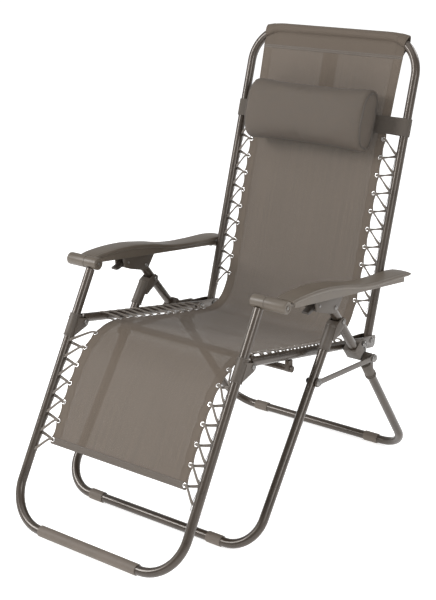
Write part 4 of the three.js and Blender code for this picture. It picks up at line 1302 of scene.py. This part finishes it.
for nm, ls, ap, ad, body, sh, land in (lace_specs[0], lace_specs[2]):
    use = ls[:-1]
    V, F, U = tie_part(use, ap, ad, sh, True)
    pair(Part().add(V, F, U), nm.replace("lace", "tie_cord"), M_CORD, body, (), "bungee_cord", flat_angle=80)

# ------------------------------------------------------------------ head pillow
PC, PH, PT, PX = 535.0, 88.0, 47.0, 182.0  # centre along the back, half height, half depth, half width
N_BACK = 12.2


def pillow_start():
    n_a, n_x = 44, 44
    prof = []
    for k in range(n_a):
        a = 2 * math.pi * k / n_a
        cs, sn = math.cos(a), math.sin(a)
        h = (PH - 8) * math.copysign(abs(sn) ** 0.86, sn)
        d = (PT - 5) * math.copysign(abs(cs) ** (0.80 if cs > 0 else 0.30), cs)
        if cs < 0:
            d *= 0.90
        prof.append((h, d))
    V, F = [], []
    xs = [-(PX - 6) + 2 * (PX - 6) * i / (n_x - 1) for i in range(n_x)]
    for x in xs:
        for h, d in prof:
            q = back_at(PC + h, N_BACK + PT - 2 + d)
            V.append((x, q[0], q[1]))
    for i in range(n_x - 1):
        for k in range(n_a):
            k2 = (k + 1) % n_a
            F.append((i * n_a + k, i * n_a + k2, (i + 1) * n_a + k2, (i + 1) * n_a + k))
    F.append(tuple(range(n_a)))
    F.append(tuple((n_x - 1) * n_a + k for k in range(n_a)))
    return V, F


V, F = pillow_start()
pil = make("head_pillow_fine", V, F, M_PILLOW)
start_co = None


def apply_mods(o):
    dg = bpy.context.evaluated_depsgraph_get()
    me = bpy.data.meshes.new_from_object(o.evaluated_get(dg))
    o.modifiers.clear()
    old = o.data
    o.data = me
    bpy.data.meshes.remove(old)


rm = pil.modifiers.new("r", "REMESH")
rm.mode = "VOXEL"
rm.voxel_size = 0.006
apply_mods(pil)
sm = pil.modifiers.new("m", "SMOOTH")
sm.factor, sm.iterations = 0.5, 6
apply_mods(pil)
rest = np.array([v.co for v in pil.data.vertices])
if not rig.quick():
    cm = pil.modifiers.new("c", "CLOTH")
    s = cm.settings
    s.quality = 6
    s.mass = 0.3
    s.use_pressure = True
    s.uniform_pressure_force = 4.0
    s.effector_weights.gravity = 0
    s.tension_stiffness = s.compression_stiffness = 18
    s.shear_stiffness = 8
    s.bending_stiffness = 0.6
    for fnum in range(1, 21):
        bpy.context.scene.frame_set(fnum)
    apply_mods(pil)
    bpy.context.scene.frame_set(1)
    co = np.array([v.co for v in pil.data.vertices])
    if len(co) == len(rest):
        mv = co - rest
        ln = np.linalg.norm(mv, axis=1)
        cap = 0.007
        co = rest + mv * np.minimum(1, cap / np.maximum(ln, 1e-9))[:, None]
        pil.data.vertices.foreach_set("co", co.astype(np.float32).ravel())
# keep it between the cloth behind and its own box, flat where it lies on the back
co = np.array([v.co for v in pil.data.vertices]) / MM
rel = co[:, 1:] - np.array(BACK_PIVOT)
s_, n_ = rel @ uBack, rel @ nBack
x_ = co[:, 0]
lo = N_BACK + 0.4
n_ = np.where(n_ < lo + 3, lo + 3 * np.exp((np.minimum(n_, lo + 3) - lo - 3) / 3.0) * 1.0, n_)
# soft puckers at the end seams and a gentle lengthwise slackness
e = np.clip((np.abs(x_) - 120) / 65, 0, 1)
ang = np.arctan2(s_ - PC, n_ - 58)
n_ = n_ + 0.35 * e * np.sin(ang * 11 + np.sign(x_)) * (n_ > lo + 8)
n_ += 0.6 * np.sin(x_ * 0.021 + 0.6) * np.sin((s_ - PC) * 0.035) * (n_ > lo + 12)
yz = np.array(BACK_PIVOT) + s_[:, None] * uBack + n_[:, None] * nBack
x_ = np.clip(x_, -PX - 1.5, PX + 1.5)
co = np.column_stack([x_, yz]) * MM
pil.data.vertices.foreach_set("co", co.astype(np.float32).ravel())
pil.data.update()
sm = pil.modifiers.new("m2", "SMOOTH")
sm.factor, sm.iterations = 0.5, 7
apply_mods(pil)
sub = pil.modifiers.new("s", "SUBSURF")
sub.levels = sub.render_levels = 1
apply_mods(pil)
# weave coordinates: round the section and along the width
me = pil.data
for l in list(me.uv_layers):
    me.uv_layers.remove(l)
lay = me.uv_layers.new(name="weave")
co = np.array([v.co for v in me.vertices]) / MM
rel = co[:, 1:] - np.array(BACK_PIVOT)
vs, vn = rel @ uBack - PC, rel @ nBack - 55
ang = np.arctan2(vs, vn)
for poly in me.polygons:
    aa = [ang[i] for i in poly.vertices]
    wrap = max(aa) - min(aa) > math.pi
    end = abs(poly.normal.x) > 0.8
    for li, vi in zip(poly.loop_indices, poly.vertices):
        a = ang[vi] + (2 * math.pi if wrap and ang[vi] < 0 else 0)
        lay.data[li].uv = (vs[vi] * MM, vn[vi] * MM) if end else (co[vi][0] * MM, a * 66 * MM)
me.polygons.foreach_set("use_smooth", [True] * len(me.polygons))
me.materials.clear()
me.materials.append(M_PILLOW)
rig.ride(pil, "pillow")
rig.replaces(pil, "head_pillow")
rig.slot(pil, "pillow_cover")
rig.padded(pil, fill=0.85)

# piping on the end seams, laid on the finished surface
bm = bmesh.new(); bm.from_mesh(pil.data)
tree = BVHTree.FromBMesh(bm)


def ring_on_pillow(x, n_pts=72, lift=0.2):
    out = []
    for k in range(n_pts):
        a = 2 * math.pi * k / n_pts
        d2 = uBack * math.sin(a) + nBack * math.cos(a)
        c2 = back_at(PC, 56)
        o = Vector((x * MM, *((c2 + d2 * 160) * MM)))
        hit = tree.ray_cast(o, Vector((0, *(-d2))))
        if hit[0] is None:
            continue
        h = np.array(hit[0]) / MM
        nn = max(lift + (np.array([h[1], h[2]]) - np.array(BACK_PIVOT)) @ nBack, N_BACK + 2.2)
        ss = (np.array([h[1], h[2]]) - np.array(BACK_PIVOT)) @ uBack
        q = back_at(ss, nn)
        out.append((x, q[0], q[1]))
    P = np.array(out)
    for _ in range(3):
        P = (np.roll(P, 1, 0) + 2 * P + np.roll(P, -1, 0)) / 4
    return P


q = Part()
for x in (PX - 9.0, -(PX - 9.0)):
    V, F, U = sweep(ring_on_pillow(x), 2.5, 10, closed=True)
    q.add(V, F, U)
# lengthwise closing seam low at the back
seam = []
for x in np.linspace(-(PX - 15), PX - 15, 40):
    c2 = back_at(PC, 56)
    a = R(-152)
    d2 = uBack * math.sin(a) + nBack * math.cos(a)
    hit = tree.ray_cast(Vector((x * MM, *((c2 + d2 * 160) * MM))), Vector((0, *(-d2))))
    if hit[0] is not None:
        h = np.array(hit[0]) / MM
        seam.append((x, h[1], h[2]))
V, F, U = sweep(seam, 1.0, 8)
q.add(V, F, U)
pip = q.make("pillow_piping", M_PIPING, body="pillow", slot="pillow_cover", flat_angle=80)
bm.free()

# elastic bands: from behind the pillow, round the back tube and back to themselves
def band_path():
    P = [(150, 12.0), (185, 12.2), (212, 13.2), (232, 14.0)]
    rb = 12.9
    for a in np.linspace(80, -160, 22):
        P.append((FRAME_X + rb * math.cos(R(a)), rb * math.sin(R(a))))
    P += [(226, 2.0), (218, 9.5), (212, 11.8)]
    return catmull(P, 2.5)


bp = band_path()
rows = []
L = np.concatenate([[0], np.cumsum(np.linalg.norm(np.diff(bp, axis=0), axis=1))])
for (x, n), l in zip(bp, L):
    r = []
    for k in range(9):
        w = -22 + 44 * k / 8
        q2 = back_at(PC + w, n + 0.12 * math.sin(k * 2.1))
        r.append((np.array([x, q2[0], q2[1]]), (w, l)))
    rows.append(r)


def band_part(rows, th=1.3):
    P = np.array([[c[0] for c in r] for r in rows]); UV = np.array([[c[1] for c in r] for r in rows])
    du, dv = np.gradient(P, axis=1), np.gradient(P, axis=0)
    N = np.cross(du, dv); N /= np.linalg.norm(N, axis=2)[:, :, None] + 1e-12
    nr, nc = P.shape[:2]
    top, bot = P + N * th / 2, P - N * th / 2
    V = [tuple(q) for q in top.reshape(-1, 3)] + [tuple(q) for q in bot.reshape(-1, 3)]
    F, U, off = [], [], nr * nc
    for i in range(nr - 1):
        for j in range(nc - 1):
            q = [(i, j), (i, j + 1), (i + 1, j + 1), (i + 1, j)]
            F.append(tuple(a * nc + b for a, b in q)); U.append([tuple(UV[c]) for c in q])
            F.append(tuple(off + a * nc + b for a, b in q[::-1])); U.append([tuple(UV[c]) for c in q[::-1]])
    ring = [(0, j) for j in range(nc)] + [(i, nc - 1) for i in range(1, nr)] + [(nr - 1, j) for j in range(nc - 2, -1, -1)] + [(i, 0) for i in range(nr - 2, 0, -1)]
    for a, b in zip(ring, ring[1:] + ring[:1]):
        F.append((b[0] * nc + b[1], a[0] * nc + a[1], off + a[0] * nc + a[1], off + b[0] * nc + b[1])); U.append([tuple(UV[b]), tuple(UV[a]), tuple(UV[a]), tuple(UV[b])])
    return Part().add(V, F, U)


pair(band_part(rows), "pillow_strap_fine", M_STRAP, "pillow", ["pillow_strap"], "elastic_strap", flat_angle=60)

# ------------------------------------------------------------------ cloth declarations
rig.sheet(sling_upper, flat=(0.406, float(len_upper)), held="stretched", rests_on=["back_frame_fine"], with_pieces=[seam_band, centre_strip])
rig.sheet(sling_lower, flat=(0.406, float(len_lower)), held="stretched", rests_on=["seat_lace_fine_l", "leg_lace_fine_l"], with_pieces=[foot_hem])

# ------------------------------------------------------------------ stage, light, camera
fm, nt, b = new_mat("stage_floor")
vec = obj_vec(nt)
nt.links.new(mix_col(nt, ramp(nt, noise(nt, vec, 0.8, 2), 0.3, 0.7), (0.86, 0.86, 0.86), (0.88, 0.88, 0.88)), b.inputs["Base Color"])
b.inputs["Roughness"].default_value = 0.9
b.inputs["Specular IOR Level"].default_value = 0.1
b.inputs["Emission Color"].default_value = (1, 1, 1, 1)
b.inputs["Emission Strength"].default_value = 0.66
me = bpy.data.meshes.new("stage_floor")
me.from_pydata([(-40, -40, -0.0005), (40, -40, -0.0005), (40, 40, -0.0005), (-40, 40, -0.0005)], [], [(0, 1, 2, 3)])
floor = bpy.data.objects.new("stage_floor", me)
bpy.context.scene.collection.objects.link(floor)
me.materials.append(fm)
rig.stage(floor)

w = bpy.data.worlds.new("studio")
bpy.context.scene.world = w
w.use_nodes = True
w.node_tree.nodes["Background"].inputs[0].default_value = (1, 1, 1, 1)
w.node_tree.nodes["Background"].inputs[1].default_value = 0.52


def area(name, loc, target, size, power, size_y=None):
    d = bpy.data.lights.new(name, "AREA")
    d.energy = power
    d.size = size
    if size_y:
        d.shape = "RECTANGLE"
        d.size_y = size_y
    o = bpy.data.objects.new(name, d)
    o.location = loc
    o.rotation_euler = (Vector(target) - Vector(loc)).to_track_quat("-Z", "Y").to_euler()
    bpy.context.scene.collection.objects.link(o)
    return o


area("key_light", (-2.4, -2.6, 2.6), (0, 0, 0.5), 1.1, 108, 1.8)
area("fill_light", (2.8, -1.6, 1.8), (0, 0, 0.5), 1.2, 30)
area("rim_light", (1.2, 2.8, 2.6), (0, 0, 0.6), 1.2, 34)
area("top_light", (0, -0.4, 3.4), (0, 0, 0.3), 2.4, 24)

cam = bpy.data.cameras.new("cam")
cam.lens = 76.9
cam.sensor_width = 36
cam.sensor_fit = "AUTO"
cam.shift_x, cam.shift_y = 0.0036, -0.0149
co_ = bpy.data.objects.new("cam", cam)
co_.location = (1.7654, -2.3633, 1.4647)
co_.rotation_euler = (Vector((0, -0.0201, 0.515)) - Vector(co_.location)).to_track_quat("-Z", "Y").to_euler()
bpy.context.scene.collection.objects.link(co_)
bpy.context.scene.camera = co_
bpy.context.scene.view_settings.view_transform = "Standard"

bpy.context.view_layer.update()
vis_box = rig.bounds()


def plain(box):
    return [[float(c) for c in q] for q in box]


json.dump({"cad": plain(cad_box), "visual": plain(vis_box)}, open("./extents.json", "w"))
